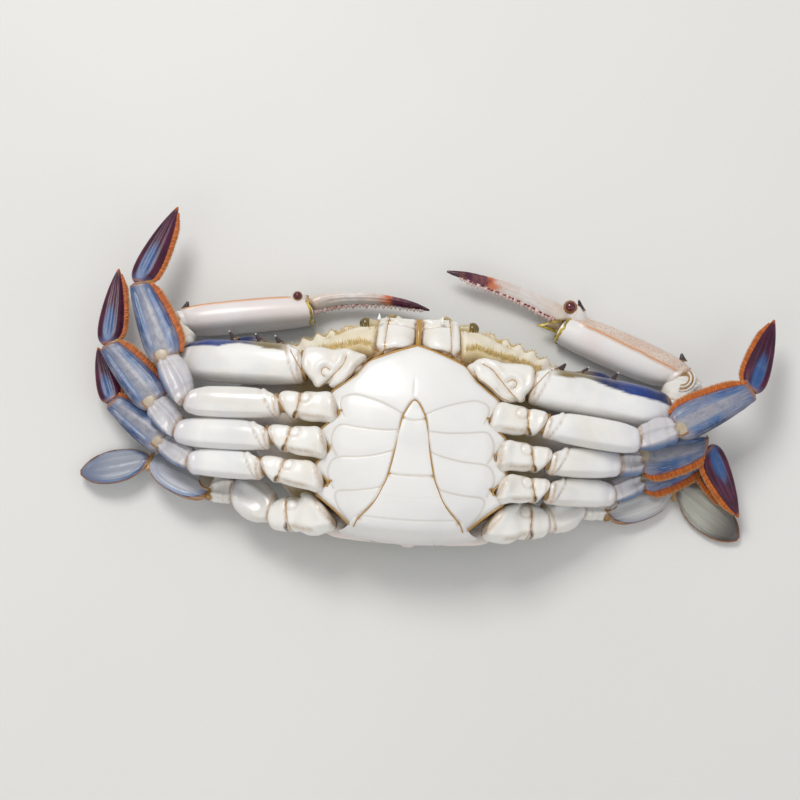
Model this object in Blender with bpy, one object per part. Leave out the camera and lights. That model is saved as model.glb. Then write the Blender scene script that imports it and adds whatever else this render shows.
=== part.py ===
"""Blue swimming crab, an adult male lying on its back with its belly up.

+Y is towards the head, +Z is out of the belly, +X is the crab's left side.
All named sizes are in millimetres; meshes are made in metres.
"""

import math

import bmesh
import bpy
from mathutils import Matrix, Vector

MM = 0.001
GAP = 0.34                  # clear space between neighbouring pieces

# Body
FRONT_Y = 39.0              # front of the shell, measured from the body's middle
REAR_Y = -36.8
ARC_CENTRE = (16.0, -2.0)   # the toothed front-side margin is an arc round this point
ARC_RADIUS = 35.6
ARC_SPREAD = 9.4            # how far the arc opens out towards the long side spine
ARC_START, ARC_END = math.radians(78), math.radians(18)
# Teeth between the eyes, on one side: (x, distance behind the front, reach outwards)
FRONT_TEETH = [(0.0, 1.5, 0), (2.4, 0.9, 1.4), (4.6, 1.5, 0), (7.0, 0.8, 2.0), (9.2, 1.6, 0),
               (11.2, 1.0, 1.8), (12.8, 4.0, 0), (20.4, 4.4, 0)]
SIDE_TEETH = 7
TEETH_RUN = SIDE_TEETH + 1.1   # pitches of the teeth on the whole arc
TOOTH_TIP = 0.12             # where a tooth's tip and the valley behind it lie in its pitch
TOOTH_VALLEY = 0.72
TOOTH_REACH = 2.6
SPINE_TIP = (78.0, 6.2)
SPINE_BASE_FRONT = (60.6, 11.6)
SPINE_BASE_REAR = (60.2, 3.4)
SPINE_WAIST = -0.4           # the spine is drawn in halfway along
REAR_CORNER = (28.0, -33.2)
REAR_SIDE_POINTS = 5
REAR_SIDE_BULGE = 2.2
REAR_EDGE = [(23.0, 1.2), (12.0, 0.3), (0.0, 0.0)]   # (x, distance in front of the rear)
MARGIN_Z = 12.4             # height of the side margin above the floor
FRONT_RISE = 3.6            # how much higher the front margin is
REAR_RISE = 1.6
MARGIN_THICK = 0.85         # half the thickness of the shell's edge
REST_SCALE = 0.26           # share of the dome that lies flat on the floor
DOME_SCALES = (0.5, 0.74, 0.92)
DOME_LIMIT = 61.5           # the long side spines stay out of the dome and of the flanks
DOME_POWER = 2.3
FLANK_SHARE = 0.55          # where the flank bends, from the seat to the edge
FLANK_LIFT = 0.9
SEAT_Z = 21.0               # where the breastplate sits on the shell
SEAT_REAR_Z = 17.0
SEAT_GROW = 1.012
SEAT_OUTLINE = [(27.4, 0.0), (25.4, 5.5), (23.2, 11.0), (21.4, 16.4), (16.6, 20.0),
                (10.5, 23.0), (3.0, 25.4), (-3.0, 27.0), (-9.0, 27.8), (-15.0, 27.8),
                (-21.0, 26.8), (-26.0, 24.6), (-30.5, 22.0), (-33.4, 18.4), (-35.0, 11.0),
                (-35.4, 0.0)]

# Breastplate: (y, half width) from front to rear; its corners reach out between the limbs
PLATE_MIDDLE_Y = -5.0
PLATE_OUTLINE = [(27.4, 0.0), (25.4, 5.5), (23.2, 11.0), (20.8, 16.0), (16.6, 19.4),
                 (13.4, 23.2), (10.2, 27.4), (7.8, 27.0), (2.6, 24.9), (0.0, 27.4),
                 (-2.4, 30.2), (-4.6, 29.6), (-9.0, 27.2), (-11.6, 29.2), (-14.0, 31.2),
                 (-16.2, 30.6), (-20.6, 27.0), (-23.6, 30.6), (-25.4, 29.0), (-28.4, 25.0),
                 (-31.2, 21.6), (-33.6, 18.2), (-35.0, 11.0), (-35.4, 0.0)]
LOBE_RISE = 0.9             # slope of the underside of those corners
# Rings of its edge: (share of the outline, depth below the belly surface)
PLATE_RINGS = [(1.0, 3.6), (0.965, 1.2), (0.88, 0.1), (0.5, 0.0)]
# Midline of the belly surface in side view: (y, z)
BELLY_LINE = [(28.0, 32.4), (20.0, 35.0), (10.0, 36.9), (0.0, 37.6), (-10.0, 37.6),
              (-18.0, 37.2), (-25.0, 36.0), (-30.0, 34.0), (-33.8, 31.2), (-36.0, 27.0),
              (-36.9, 22.4), (-37.2, 17.4)]
BELLY_STEPS = 9             # points of the line that lie on the belly itself
BELLY_CROWN = 0.0046        # fall of the belly surface with the square of x

# Abdomen, the narrow T-shaped flap of a male: (y or rear step, half width)
FLAP_THICK = 1.7
FLAP_OUTLINE = [(7.6, 0.5), (6.4, 1.6), (4.2, 2.8), (1.1, 4.0), (-8.0, 5.5), (-17.0, 7.4),
                (-21.0, 9.0), (-24.6, 10.7), (-28.0, 13.3), (-31.0, 16.4), (-33.8, 17.9),
                (-36.0, 19.4), (-36.9, 20.8), (-37.2, 22.0)]
FLAP_REAR_Y = -33.8         # behind this the flap runs down the rear edge
FLAP_SHARES = (-1.0, -0.55, 0.0, 0.55, 1.0)
FLAP_EDGE = 0.25
FLAP_RISE = 0.15
BED_REACH = 9.0

# Mouth plates: one side's width and heights
MOUTH_INNER_X = 0.35
MOUTH_WIDTH = 13.8
MOUTH_REAR_Y = 27.4
MOUTH_SLANT = 0.4           # how fast the rear edge runs backwards with x
MOUTH_TOP_Z = 33.4
MOUTH_FLOOR_Z = 23.6
MOUTH_LEVEL_Y = 25.0         # the top height holds here and falls towards the front
MOUTH_SLOPE = 0.5
MOUTH_CURVE = 0.009
MOUTH_TAPER = 1.6            # loss of width towards the front
MOUTH_FRONT_GAP = 1.2        # how far the plates stay behind the shell's front
MOUTH_SIDE_FALL = 2.4        # rounding of the sides and of the ends
MOUTH_END_FALL = 1.6
MOUTH_FLOOR_Y = 26.0         # the underside falls in front of this
MOUTH_FLOOR_SLOPE = 0.36
MOUTH_ROWS = 5
MOUTH_COLUMNS = 4

# Eye: (share of the stalk, radius)
EYE_INNER = (13.6, 37.1, 15.6)
EYE_OUTER = (20.2, 37.3, 15.4)
EYE_SIZES = [(0.0, 0.9), (0.08, 1.5), (0.4, 1.6), (0.55, 2.1), (0.75, 2.3), (0.92, 1.6), (1.0, 0.7)]
# Feeler
FEELER_STEPS = 12
FEELER_ROOT = (9.2, 40.4)
FEELER_REACH = 0.52         # share of the toothed margin that it lies under
FEELER_RADIUS = 1.1
FEELER_ROOT_RADIUS = 0.9
FEELER_THINNING = 0.72       # radius lost towards the tip
FEELER_INSET = 0.985         # share of the margin's distance that it stays at
FEELER_BEND = 0.34           # share of its length that bends away from the root
FEELER_Z = 9.2
FEELER_DROP = 2.0
FEELER_ROOT_RISE = 5.6
FEELER_SIDES = 6
EYE_SIDES = 8

# Limb segments: (place along the segment, half width, half thickness)
CLAW_BASE = [(0, 3.4, 2.8), (0.12, 5.4, 4.6), (0.36, 6.3, 5.3), (0.5, 5.6, 4.9),
             (0.7, 6.3, 5.5), (0.93, 6.2, 5.2), (1, 4.8, 4.0)]
CLAW_MERUS = [(0, 4.6, 3.8), (0.05, 6.4, 5.0), (0.24, 7.2, 6.0), (0.6, 7.4, 6.2),
              (0.84, 7.2, 5.8), (0.95, 6.5, 5.0), (1, 4.8, 3.8)]
CLAW_CARPUS = [(0, 3.2, 3.2), (0.14, 5.2, 4.8), (0.45, 6.4, 5.4), (0.75, 6.2, 5.2),
               (0.92, 5.0, 4.4), (1, 3.4, 3.0)]
CLAW_PALM = [(0, 3.0, 2.6), (0.04, 4.8, 3.8), (0.15, 6.2, 4.7), (0.4, 7.0, 5.1),
             (0.65, 7.0, 5.1), (0.84, 6.6, 4.9), (0.95, 6.0, 4.6), (1, 5.4, 4.1)]
FINGER_SIZES = [(0, 2.2, 1.8), (0.05, 2.9, 2.1), (0.14, 2.8, 1.8), (0.6, 2.2, 1.4),
                (0.85, 1.6, 1.1), (0.96, 0.9, 0.7), (1, 0.4, 0.4)]
LEG_BASE = [(0, 3.6, 3.2), (0.08, 4.5, 4.1), (0.3, 4.9, 4.4), (0.5, 4.8, 4.3),
            (0.62, 4.1, 3.8), (0.72, 4.4, 3.9), (0.92, 4.4, 3.8), (1, 3.4, 3.0)]
LEG_MERUS = [(0, 3.0, 2.6), (0.05, 4.5, 3.6), (0.3, 5.2, 4.1), (0.7, 5.2, 4.1),
             (0.93, 4.6, 3.7), (1, 3.0, 2.6)]
LEG_CARPUS = [(0, 2.7, 2.4), (0.16, 4.3, 3.4), (0.5, 5.0, 3.4), (0.84, 4.8, 3.0),
              (1, 3.2, 2.0)]
LEG_PROPODUS = [(0, 3.4, 1.7), (0.07, 5.4, 2.2), (0.22, 6.2, 2.5), (0.56, 5.5, 2.3),
                (0.89, 4.1, 1.8), (1, 3.0, 1.2)]
LEG_DACTYL = [(0, 2.2, 1.2), (0.07, 3.9, 1.6), (0.25, 4.5, 1.7), (0.5, 3.9, 1.5),
              (0.75, 2.6, 1.1), (0.92, 1.2, 0.7), (1, 0.4, 0.35)]
SWIM_BASE = [(0, 4.0, 3.8), (0.12, 6.3, 5.2), (0.34, 6.8, 5.3), (0.5, 5.4, 4.6),
             (0.66, 6.0, 4.6), (0.92, 5.2, 4.0), (1, 3.4, 2.7)]
SWIM_MERUS = [(0, 3.2, 2.4), (0.15, 5.8, 3.6), (0.5, 7.0, 3.9), (0.85, 5.6, 3.2),
              (1, 3.2, 2.0)]
SWIM_CARPUS = [(0, 2.8, 1.8), (0.2, 4.7, 2.6), (0.6, 5.0, 2.5), (1, 3.2, 1.5)]
SWIM_PROPODUS = [(0, 3.2, 1.2), (0.1, 6.4, 1.5), (0.35, 7.9, 1.4), (0.7, 7.6, 1.2),
                 (0.92, 5.6, 1.0), (1, 3.0, 0.8)]
PADDLE = [(0, 2.0, 0.8), (0.1, 4.6, 1.0), (0.38, 6.9, 0.9), (0.68, 6.6, 0.8),
          (0.9, 4.2, 0.6), (1, 1.4, 0.4)]
LEG_SCALE = {2: 1.0, 3: 0.98, 4: 0.92, 5: 1.0}
FINGER_RINGS = 15
FINGER_TOOTH = 0.8
FINGER_BOW = {"right": 3.0, "left": 1.9}    # how far the finger's middle bends forwards
CLAW_SLANT = math.radians(36)
FINGER_LIFT = {"right": 3.0, "left": 4.4}   # finger joint's distance from the palm's axis
STUMP_DEPTH = 2.6
STUMP_RIM = 1.1
# Spines of the claw: (share of the segment, how far out it is sought, reach, width of its root)
MERUS_SPINES = (0.3, 0.52, 0.74)
MERUS_SPINE = (7.0, 3.4, 2.4)
CARPUS_SPINE = (0.6, 3.2, 2.4)
PALM_SPINE = (0.1, 6.0, 2.6, 2.2)

# The pose: each limb's joints from the body outwards, as (x, y, z)
JOINTS = {
    ("right", 1): [(-17.9, 19.2, 28.0), (-37.4, 19.6, 27.0), (-79.0, 21.6, 15.0),
                   (-84.6, 35.2, 7.8), (-36.4, 42.8, 6.0), (2.8, 45.0, 7.4)],
    ("left", 1): [(17.9, 19.2, 28.0), (38.0, 16.9, 27.0), (85.0, 12.4, 15.4),
                  (93.2, 25.0, 6.6), (48.2, 42.6, 4.5), (8.8, 58.9, 7.4)],
    ("right", 2): [(-26.4, 4.8, 31.0), (-44.4, 5.6, 30.0), (-75.6, 5.7, 25.5),
                   (-83.4, 19.8, 23.5), (-95.3, 45.5, 21.0), (-85.0, 74.1, 16.0)],
    ("left", 2): [(26.4, 4.8, 31.0), (43.0, 3.5, 30.0), (74.3, 0.7, 25.0),
                  (86.3, 6.0, 23.0), (111.8, 19.9, 21.5), (120.4, 46.4, 14.0)],
    ("right", 3): [(-28.9, -7.2, 32.0), (-47.0, -5.5, 29.5), (-78.3, -3.9, 21.0),
                   (-86.8, 5.7, 16.6), (-105.1, 25.2, 14.0), (-104.3, 52.6, 10.4)],
    ("left", 3): [(28.9, -7.4, 32.0), (44.8, -8.4, 28.6), (68.3, -6.2, 17.6),
                  (76.3, -4.4, 14.0), (99.2, 2.1, 12.8), (110.8, -20.8, 8.6)],
    ("right", 4): [(-29.4, -18.6, 31.2), (-49.0, -15.3, 28.0), (-73.2, -13.4, 19.0),
                   (-83.4, -6.7, 13.0), (-102.8, 6.6, 8.6), (-110.2, 26.0, 4.0)],
    ("left", 4): [(29.4, -18.6, 31.2), (44.7, -18.0, 26.4), (67.2, -15.8, 12.0),
                  (77.2, -9.8, 8.0), (98.6, -1.8, 7.0), (108.8, -17.6, 5.0)],
    ("right", 5): [(-26.0, -29.8, 24.0), (-45.5, -29.4, 17.0), (-58.6, -19.7, 12.0),
                   (-66.8, -22.5, 9.0), (-88.7, -12.0, 6.0), (-112.4, -17.6, 4.2)],
    ("left", 5): [(26.0, -29.8, 24.0), (45.3, -26.8, 17.0), (57.2, -18.6, 10.4),
                  (65.7, -20.8, 5.6), (90.2, -10.4, 2.6), (111.9, -27.6, 2.2)],
}
# Turn of a segment about its own length, in degrees
ROLLS = {("right", 1, "palm"): 78, ("right", 1, "finger"): 55, ("left", 1, "palm"): 8,
         ("right", 5, "propodus"): 32, ("right", 5, "paddle"): 26}
# Way the breastplate's side faces at each limb, and the slanting seam between base and merus
SOCKET_FACES = {1: (0.66, 0.75), 2: (0.92, -0.40), 3: (0.87, -0.50), 4: (0.78, -0.62),
                5: (0.68, -0.73)}
SEAM_FACES = {1: (0.87, -0.46), 2: (0.76, -0.65), 3: (0.76, -0.65), 4: (0.80, -0.60)}

# Finish of each material: colour, roughness, metallic
FINISHES = {
    "shell_back": ((0.20, 0.21, 0.15), 0.45, 0.0),
    "shell_belly": ((0.88, 0.86, 0.80), 0.30, 0.0),
    "shell_joint": ((0.84, 0.80, 0.70), 0.35, 0.0),
    "shell_white": ((0.82, 0.84, 0.84), 0.28, 0.0),
    "shell_blue": ((0.22, 0.35, 0.58), 0.30, 0.0),
    "shell_claw": ((0.80, 0.76, 0.72), 0.30, 0.0),
    "shell_dark": ((0.20, 0.05, 0.12), 0.30, 0.0),
    "eye_black": ((0.03, 0.02, 0.02), 0.12, 0.0),
    "feeler": ((0.45, 0.36, 0.20), 0.50, 0.0),
}


def clear_scene():
    """Remove whatever the file opened with."""
    for obj in list(bpy.data.objects):
        bpy.data.objects.remove(obj, do_unlink=True)


def make_finishes():
    """One Principled material for each finish."""
    made = {}
    for name, (colour, roughness, metallic) in FINISHES.items():
        material = bpy.data.materials.new(name)
        material.use_nodes = True
        shader = material.node_tree.nodes["Principled BSDF"]
        shader.inputs["Base Color"].default_value = (*colour, 1.0)
        shader.inputs["Roughness"].default_value = roughness
        shader.inputs["Metallic"].default_value = metallic
        material.diffuse_color = (*colour, 1.0)
        made[name] = material
    return made


def between(table, place):
    """Smooth value of a table of (place, value, ...) rows at one place."""
    rows = sorted(table)
    place = min(max(place, rows[0][0]), rows[-1][0])
    for low, high in zip(rows, rows[1:]):
        if place <= high[0]:
            break
    share = (place - low[0]) / (high[0] - low[0])
    return [a + (b - a) * share for a, b in zip(low[1:], high[1:])]


def belly_z(x, y):
    """Height of the belly surface."""
    return between(BELLY_LINE[:BELLY_STEPS], y)[0] - BELLY_CROWN * x * x


def add_object(name, mesh_bm, finish, parent, matrix=None):
    """Turn a bmesh in millimetres into a named object."""
    bmesh.ops.recalc_face_normals(mesh_bm, faces=mesh_bm.faces)
    bmesh.ops.triangulate(mesh_bm, faces=mesh_bm.faces)
    if mesh_bm.calc_volume(signed=True) < 0:
        bmesh.ops.reverse_faces(mesh_bm, faces=mesh_bm.faces)
    mesh_bm.transform(Matrix.Scale(MM, 4))
    mesh = bpy.data.meshes.new(name)
    mesh_bm.to_mesh(mesh)
    mesh_bm.free()
    mesh.shade_smooth()
    mesh.set_sharp_from_angle(angle=math.radians(40))
    mesh.materials.append(finish)
    obj = bpy.data.objects.new(name, mesh)
    bpy.context.scene.collection.objects.link(obj)
    obj.parent = parent
    if matrix is not None:
        turned = matrix.copy()
        turned.translation = matrix.translation * MM
        obj.matrix_basis = turned
    return obj


def loft(rings, hollow_end=0.0):
    """Closed body through rings of equal count; the end can be a shallow cup."""
    bm = bmesh.new()
    rows = [[bm.verts.new(point) for point in ring] for ring in rings]
    count = len(rows[0])
    for low, high in zip(rows, rows[1:]):
        for k in range(count):
            nxt = (k + 1) % count
            bm.faces.new((low[k], low[nxt], high[nxt], high[k]))
    bm.faces.new(rows[0][::-1])
    cap = bm.faces.new(rows[-1])
    if hollow_end:
        bm.normal_update()
        inward = -cap.normal * hollow_end
        bmesh.ops.inset_region(bm, faces=[cap], thickness=STUMP_RIM)
        bmesh.ops.translate(bm, verts=list(cap.verts), vec=inward)
        bmesh.ops.scale(bm, verts=list(cap.verts), vec=(0.8, 0.8, 0.8),
                        space=Matrix.Translation(-cap.calc_center_median()))
    return bm


# ---------------------------------------------------------------- shell

def side_arc(share):
    """Point on the front-side margin; share runs from the eye to the side spine."""
    angle = ARC_START + (ARC_END - ARC_START) * share
    radius = ARC_RADIUS + ARC_SPREAD * share * share
    return (ARC_CENTRE[0] + radius * math.cos(angle), ARC_CENTRE[1] + radius * math.sin(angle))


def half_margin():
    """Margin of one side, front to rear, as (x, y, tooth reach outwards)."""
    front = [(x, FRONT_Y - back, reach) for x, back, reach in FRONT_TEETH]
    teeth = []
    for k in range(SIDE_TEETH + 1):
        tip = side_arc((k + TOOTH_TIP) / TEETH_RUN)
        valley = side_arc((k + TOOTH_VALLEY) / TEETH_RUN)
        teeth += [(*tip, TOOTH_REACH), (*valley, 0)]
    root_a, root_b = Vector(SPINE_BASE_FRONT), Vector(SPINE_BASE_REAR)
    tip = Vector(SPINE_TIP)
    spine = [(*root_a, 0), (*root_a.lerp(tip, 0.5), SPINE_WAIST), (*tip, 0),
             (*root_b.lerp(tip, 0.5), SPINE_WAIST), (*root_b, 0)]
    corner = Vector(REAR_CORNER)
    rear_side = []
    for k in range(1, REAR_SIDE_POINTS):
        share = k / REAR_SIDE_POINTS
        point = root_b.lerp(corner, share)
        rear_side.append((point.x + REAR_SIDE_BULGE * math.sin(math.pi * share), point.y, 0))
    rear = [(*corner, 0)] + [(x, REAR_Y + ahead, 0) for x, ahead in REAR_EDGE]
    return front + teeth + spine + rear_side + rear


def shell_margin():
    """The whole margin, once round, as (x, y, tooth reach)."""
    half = half_margin()
    mirrored = [(-x, y, reach) for x, y, reach in half[1:-1]]
    return half + mirrored[::-1]


def margin_height(y):
    """Height of the shell's edge above the floor."""
    front = max(0.0, y / FRONT_Y)
    rear = max(0.0, -y / -REAR_Y)
    return MARGIN_Z + FRONT_RISE * front ** 1.5 + REAR_RISE * rear ** 2


def seat_height(y):
    """Height at which the breastplate meets the shell."""
    share = min(1.0, max(0.0, (-20.0 - y) / 10.0))
    return SEAT_Z + (SEAT_REAR_Z - SEAT_Z) * share


def plate_floor(x, y):
    """Height of the breastplate's underside, which rises where it reaches beyond its seat."""
    beyond = max(0.0, abs(x) - between(SEAT_OUTLINE, y)[0])
    return seat_height(y) + GAP + LOBE_RISE * beyond


def whole_outline(half, scale):
    """Both sides of an outline of (y, half width) rows, scaled about the plate's middle."""
    points = [(x, y) for y, x in half] + [(-x, y) for y, x in half[1:-1]][::-1]
    return [Vector((x * scale, PLATE_MIDDLE_Y + (y - PLATE_MIDDLE_Y) * scale)) for x, y in points]


def plate_ring(scale, height):
    """Outline of the breastplate, scaled about its middle, at height(x, y)."""
    return [(*point, height(*point)) for point in whole_outline(PLATE_OUTLINE, scale)]


def seat_ring_for(margin):
    """Points of the breastplate's seat that lie towards each margin point."""
    outline = whole_outline(SEAT_OUTLINE, SEAT_GROW)
    lengths = [0.0]
    for a, b in zip(outline, outline[1:] + outline[:1]):
        lengths.append(lengths[-1] + (b - a).length)
    total = lengths[-1]
    ring = []
    for k in range(len(margin)):
        want = total * k / len(margin)
        for i, (low, high) in enumerate(zip(lengths, lengths[1:])):
            if want <= high:
                break
        a, b = outline[i], outline[(i + 1) % len(outline)]
        point = a.lerp(b, (want - low) / (high - low))
        ring.append((point.x, point.y, seat_height(point.y)))
    return ring


def build_carapace(finish, parent):
    """Back shell: a shallow dome below, the toothed edge, and the underside above."""
    margin = shell_margin()
    bm = bmesh.new()
    rows = []
    for scale in (REST_SCALE, *DOME_SCALES):
        fall = ((scale - REST_SCALE) / (1.0 - REST_SCALE)) ** DOME_POWER
        row = []
        for x, y, _ in margin:
            limit = min(1.0, DOME_LIMIT / max(abs(x), 1.0))
            px, py = x * limit * scale, y * scale
            row.append((px, py, margin_height(y) * fall))
        rows.append(row)
    for thick in (-MARGIN_THICK, MARGIN_THICK):
        row = []
        for x, y, reach in margin:
            outward = Vector((x, y)).normalized() * reach
            if abs(x) > 21.0 and reach > 0:
                outward = Vector((x * 0.75, abs(y) + 14.0)).normalized() * reach
            on_spine = min(1.0, max(0.0, (abs(x) - 60.0) / 18.0))
            z = margin_height(y) + thick * (1.35 - 0.9 * on_spine)
            row.append((x + outward.x, y + outward.y, z))
        rows.append(row)
    seat = seat_ring_for(margin)
    middle = []
    for (x, y, _), (sx, sy, sz) in zip(margin, seat):
        limit = min(1.0, DOME_LIMIT / max(abs(x), 1.0))
        edge = Vector((x * limit, y, margin_height(y) + MARGIN_THICK))
        point = Vector((sx, sy, sz)).lerp(edge, FLANK_SHARE)
        middle.append((point.x, point.y, point.z + FLANK_LIFT))
    rows += [middle, seat]
    rings = [[bm.verts.new(point) for point in row] for row in rows]
    count = len(margin)
    for low, high in zip(rings, rings[1:]):
        for k in range(count):
            nxt = (k + 1) % count
            bm.faces.new((low[k], low[nxt], high[nxt], high[k]))
    bm.faces.new(rings[0][::-1])
    hub = bm.verts.new((0.0, PLATE_MIDDLE_Y, SEAT_Z))
    for k in range(count):
        bm.faces.new((rings[-1][k], rings[-1][(k + 1) % count], hub))
    return add_object("carapace", bm, finish, parent)


def flap_rings(extra_width, inner, outer):
    """Rings of the abdomen flap along the belly and down the rear."""
    path = []
    for y, half_width in FLAP_OUTLINE:
        z = belly_z(0.0, y) if y > FLAP_REAR_Y else dict(BELLY_LINE)[y]
        path.append((y, z, half_width))
    rings = []
    for k, (y, z, half_width) in enumerate(path):
        before = path[max(k - 1, 0)]
        after = path[min(k + 1, len(path) - 1)]
        along = Vector((0, after[0] - before[0], after[1] - before[1])).normalized()
        outward = Vector((0, along.z, -along.y))
        end = -1 if k == 0 else int(k == len(path) - 1)
        y, z = y + along.y * extra_width * end, z + along.z * extra_width * end
        top, under = [], []
        for share in FLAP_SHARES:
            x = share * (half_width + extra_width)
            base = Vector((x, y, z)) - outward * BELLY_CROWN * x * x
            edge = FLAP_EDGE if abs(share) == 1.0 else 0.0
            top.append(base + outward * (outer - edge))
            under.append(base - outward * (inner - edge))
        rings.append(under + top[::-1])
    return rings


def build_abdomen(finish, parent):
    """The narrow tail flap, folded flat against the breastplate."""
    return add_object("abdomen", loft(flap_rings(0.0, FLAP_THICK, FLAP_RISE)), finish, parent)


def build_thorax(finish, cutter_finish, parent):
    """Breastplate, with the flap's bed cut into it."""
    bm = bmesh.new()
    count = 2 * len(PLATE_OUTLINE) - 2
    rows = [plate_ring(1.0, plate_floor)]
    for scale, depth in PLATE_RINGS:
        rows.append(plate_ring(scale, lambda x, y: belly_z(x, y) - depth))
    rings = [[bm.verts.new(point) for point in row] for row in rows]
    for low, high in zip(rings, rings[1:]):
        for k in range(count):
            nxt = (k + 1) % count
            bm.faces.new((low[k], low[nxt], high[nxt], high[k]))
    hubs = ((rings[0], SEAT_Z + GAP), (rings[-1], belly_z(0.0, PLATE_MIDDLE_Y)))
    for ring, height in hubs:
        hub = bm.verts.new((0.0, PLATE_MIDDLE_Y, height))
        for k in range(count):
            bm.faces.new((ring[k], ring[(k + 1) % count], hub))
    thorax = add_object("thorax", bm, finish, parent)
    cutter_mesh = loft(flap_rings(GAP, FLAP_THICK + GAP, BED_REACH))
    cutter = add_object("flap_bed_cutter", cutter_mesh, cutter_finish, parent)
    cutter.hide_render = True
    cutter.display_type = "WIRE"
    bed = thorax.modifiers.new("flap_bed", "BOOLEAN")
    bed.object = cutter
    bed.operation = "DIFFERENCE"
    bed.solver = "EXACT"
    return thorax


# ---------------------------------------------------------------- mouth, eyes, feelers

def build_maxilliped(side, name, finish, parent):
    """One of the two flat plates that cover the mouth."""
    rows = []
    for k in range(MOUTH_ROWS):
        share = k / (MOUTH_ROWS - 1)
        ring = []
        for j in range(MOUTH_COLUMNS):
            across = j / (MOUTH_COLUMNS - 1)
            x = MOUTH_INNER_X + (MOUTH_WIDTH - MOUTH_TAPER * share * share) * across
            rear = MOUTH_REAR_Y - MOUTH_SLANT * x + 2 * GAP
            y = rear + (FRONT_Y - MOUTH_FRONT_GAP - rear) * share
            round_off = MOUTH_SIDE_FALL * (2 * across - 1) ** 4
            ends = MOUTH_END_FALL * (2 * share - 1) ** 6
            ahead = y - MOUTH_LEVEL_Y
            z = MOUTH_TOP_Z - MOUTH_SLOPE * ahead - MOUTH_CURVE * ahead ** 2 - round_off - ends
            ring.append(Vector((side * x, y, z)))
        under = []
        for point in reversed(ring):
            bottom = MOUTH_FLOOR_Z - MOUTH_FLOOR_SLOPE * max(0.0, point.y - MOUTH_FLOOR_Y)
            under.append(Vector((point.x, point.y, bottom)))
        rows.append(ring + under)
    return add_object(name, loft(rows), finish, parent)


def tube_path(points, radii, sides):
    """Rings round a bent centre line."""
    rings = []
    for k, (point, radius) in enumerate(zip(points, radii)):
        before = points[max(k - 1, 0)]
        after = points[min(k + 1, len(points) - 1)]
        along = (after - before).normalized()
        across = along.cross(Vector((0, 0, 1))).normalized()
        lift = across.cross(along)
        ring = []
        for j in range(sides):
            angle = 2 * math.pi * j / sides
            ring.append(point + radius * (across * math.cos(angle) + lift * math.sin(angle)))
        rings.append(ring)
    return rings


def build_eye(side, name, finish, parent):
    """Short stalk with its rounded eye, lying in the notch of the shell."""
    start, end = (Vector((side * x, y, z)) for x, y, z in (EYE_INNER, EYE_OUTER))
    points = [start.lerp(end, share) for share, _ in EYE_SIZES]
    rings = tube_path(points, [radius for _, radius in EYE_SIZES], EYE_SIDES)
    return add_object(name, loft(rings), finish, parent)


def build_antenna(side, name, finish, parent):
    """Whip feeler folded back beneath the toothed margin."""
    points, radii = [], []
    for k in range(FEELER_STEPS + 1):
        share = k / FEELER_STEPS
        arc = Vector(side_arc(FEELER_REACH * share + 0.01)) * FEELER_INSET
        pull = max(0.0, 1 - share / FEELER_BEND) ** 1.5
        place = arc.lerp(Vector(FEELER_ROOT), pull)
        z = FEELER_Z - FEELER_DROP * share + FEELER_ROOT_RISE * pull * pull
        points.append(Vector((side * place.x, place.y, z)))
        radii.append(FEELER_ROOT_RADIUS if k == 0 else FEELER_RADIUS - FEELER_THINNING * share ** 0.4)
    return add_object(name, loft(tube_path(points, radii, FEELER_SIDES)), finish, parent)


# ---------------------------------------------------------------- limbs

def segment_frame(start, end, roll):
    """Axes of a segment: along it, across its width, and through its thickness."""
    along = (end - start).normalized()
    across = Vector((0, 0, 1)).cross(along).normalized()
    through = along.cross(across)
    turn = Matrix.Rotation(roll, 3, along)
    return along, turn @ across, turn @ through


def keep_to_side(distance, offset, along, normal, reach):
    """Move a point along its segment so that it stays behind its end plane."""
    least = max(GAP / 2, (GAP / 2 - offset.dot(normal)) / along.dot(normal))
    reach = max(reach, least * 1.6)
    if distance >= reach:
        return distance
    return least + distance * (1 - least / reach)


def segment_rings(start, end, sizes, roll, planes, sides, bow=Vector(), teeth=0.0):
    """Rings of one segment between its joints, in world millimetres."""
    along, across, through = segment_frame(start, end, roll)
    length = (end - start).length
    rings = []
    for index, (share, half_width, half_thick) in enumerate(sizes):
        ring = []
        for k in range(sides):
            angle = 2 * math.pi * k / sides
            c, s = math.cos(angle), math.sin(angle)
            wide = half_width * math.copysign(abs(c) ** 0.85, c)
            deep = half_thick * math.copysign(abs(s) ** 0.85, s)
            if teeth and k == (0 if teeth > 0 else sides // 2) and 1 < index < len(sizes) - 2:
                wide += math.copysign(FINGER_TOOTH * (index % 2), teeth)
            offset = across * wide + through * deep + bow * 4 * share * (1 - share)
            place = share * length
            if planes[0] is not None and place < length / 2:
                place = keep_to_side(place, offset, along, planes[0], length * 0.4)
            if planes[1] is not None and place > length / 2:
                back = keep_to_side(length - place, offset, -along, planes[1], length * 0.4)
                place = length - back
            ring.append(start + along * place + offset)
        rings.append(ring)
    return rings, Matrix((along, across, through)).transposed()


def rest_on_floor(rings):
    """Flatten what would reach below the floor."""
    for ring in rings:
        for point in ring:
            point.z = max(point.z, 0.0)


def poke_spine(bm, target, direction, reach, base):
    """Raise a sharp spine from the face nearest to the target point."""
    bm.normal_update()
    bm.faces.ensure_lookup_table()
    outer = [f for f in bm.faces if f.normal.dot(direction) > 0.3]
    face = min(outer, key=lambda f: (f.calc_center_median() - target).length)
    width = min(edge.calc_length() for edge in face.edges)
    if width > base * 1.3:
        bmesh.ops.inset_region(bm, faces=[face], thickness=(width - base) / 2)
    centre = face.calc_center_median()
    made = bmesh.ops.poke(bm, faces=[face])
    made["verts"][0].co = centre + direction.normalized() * reach


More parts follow.
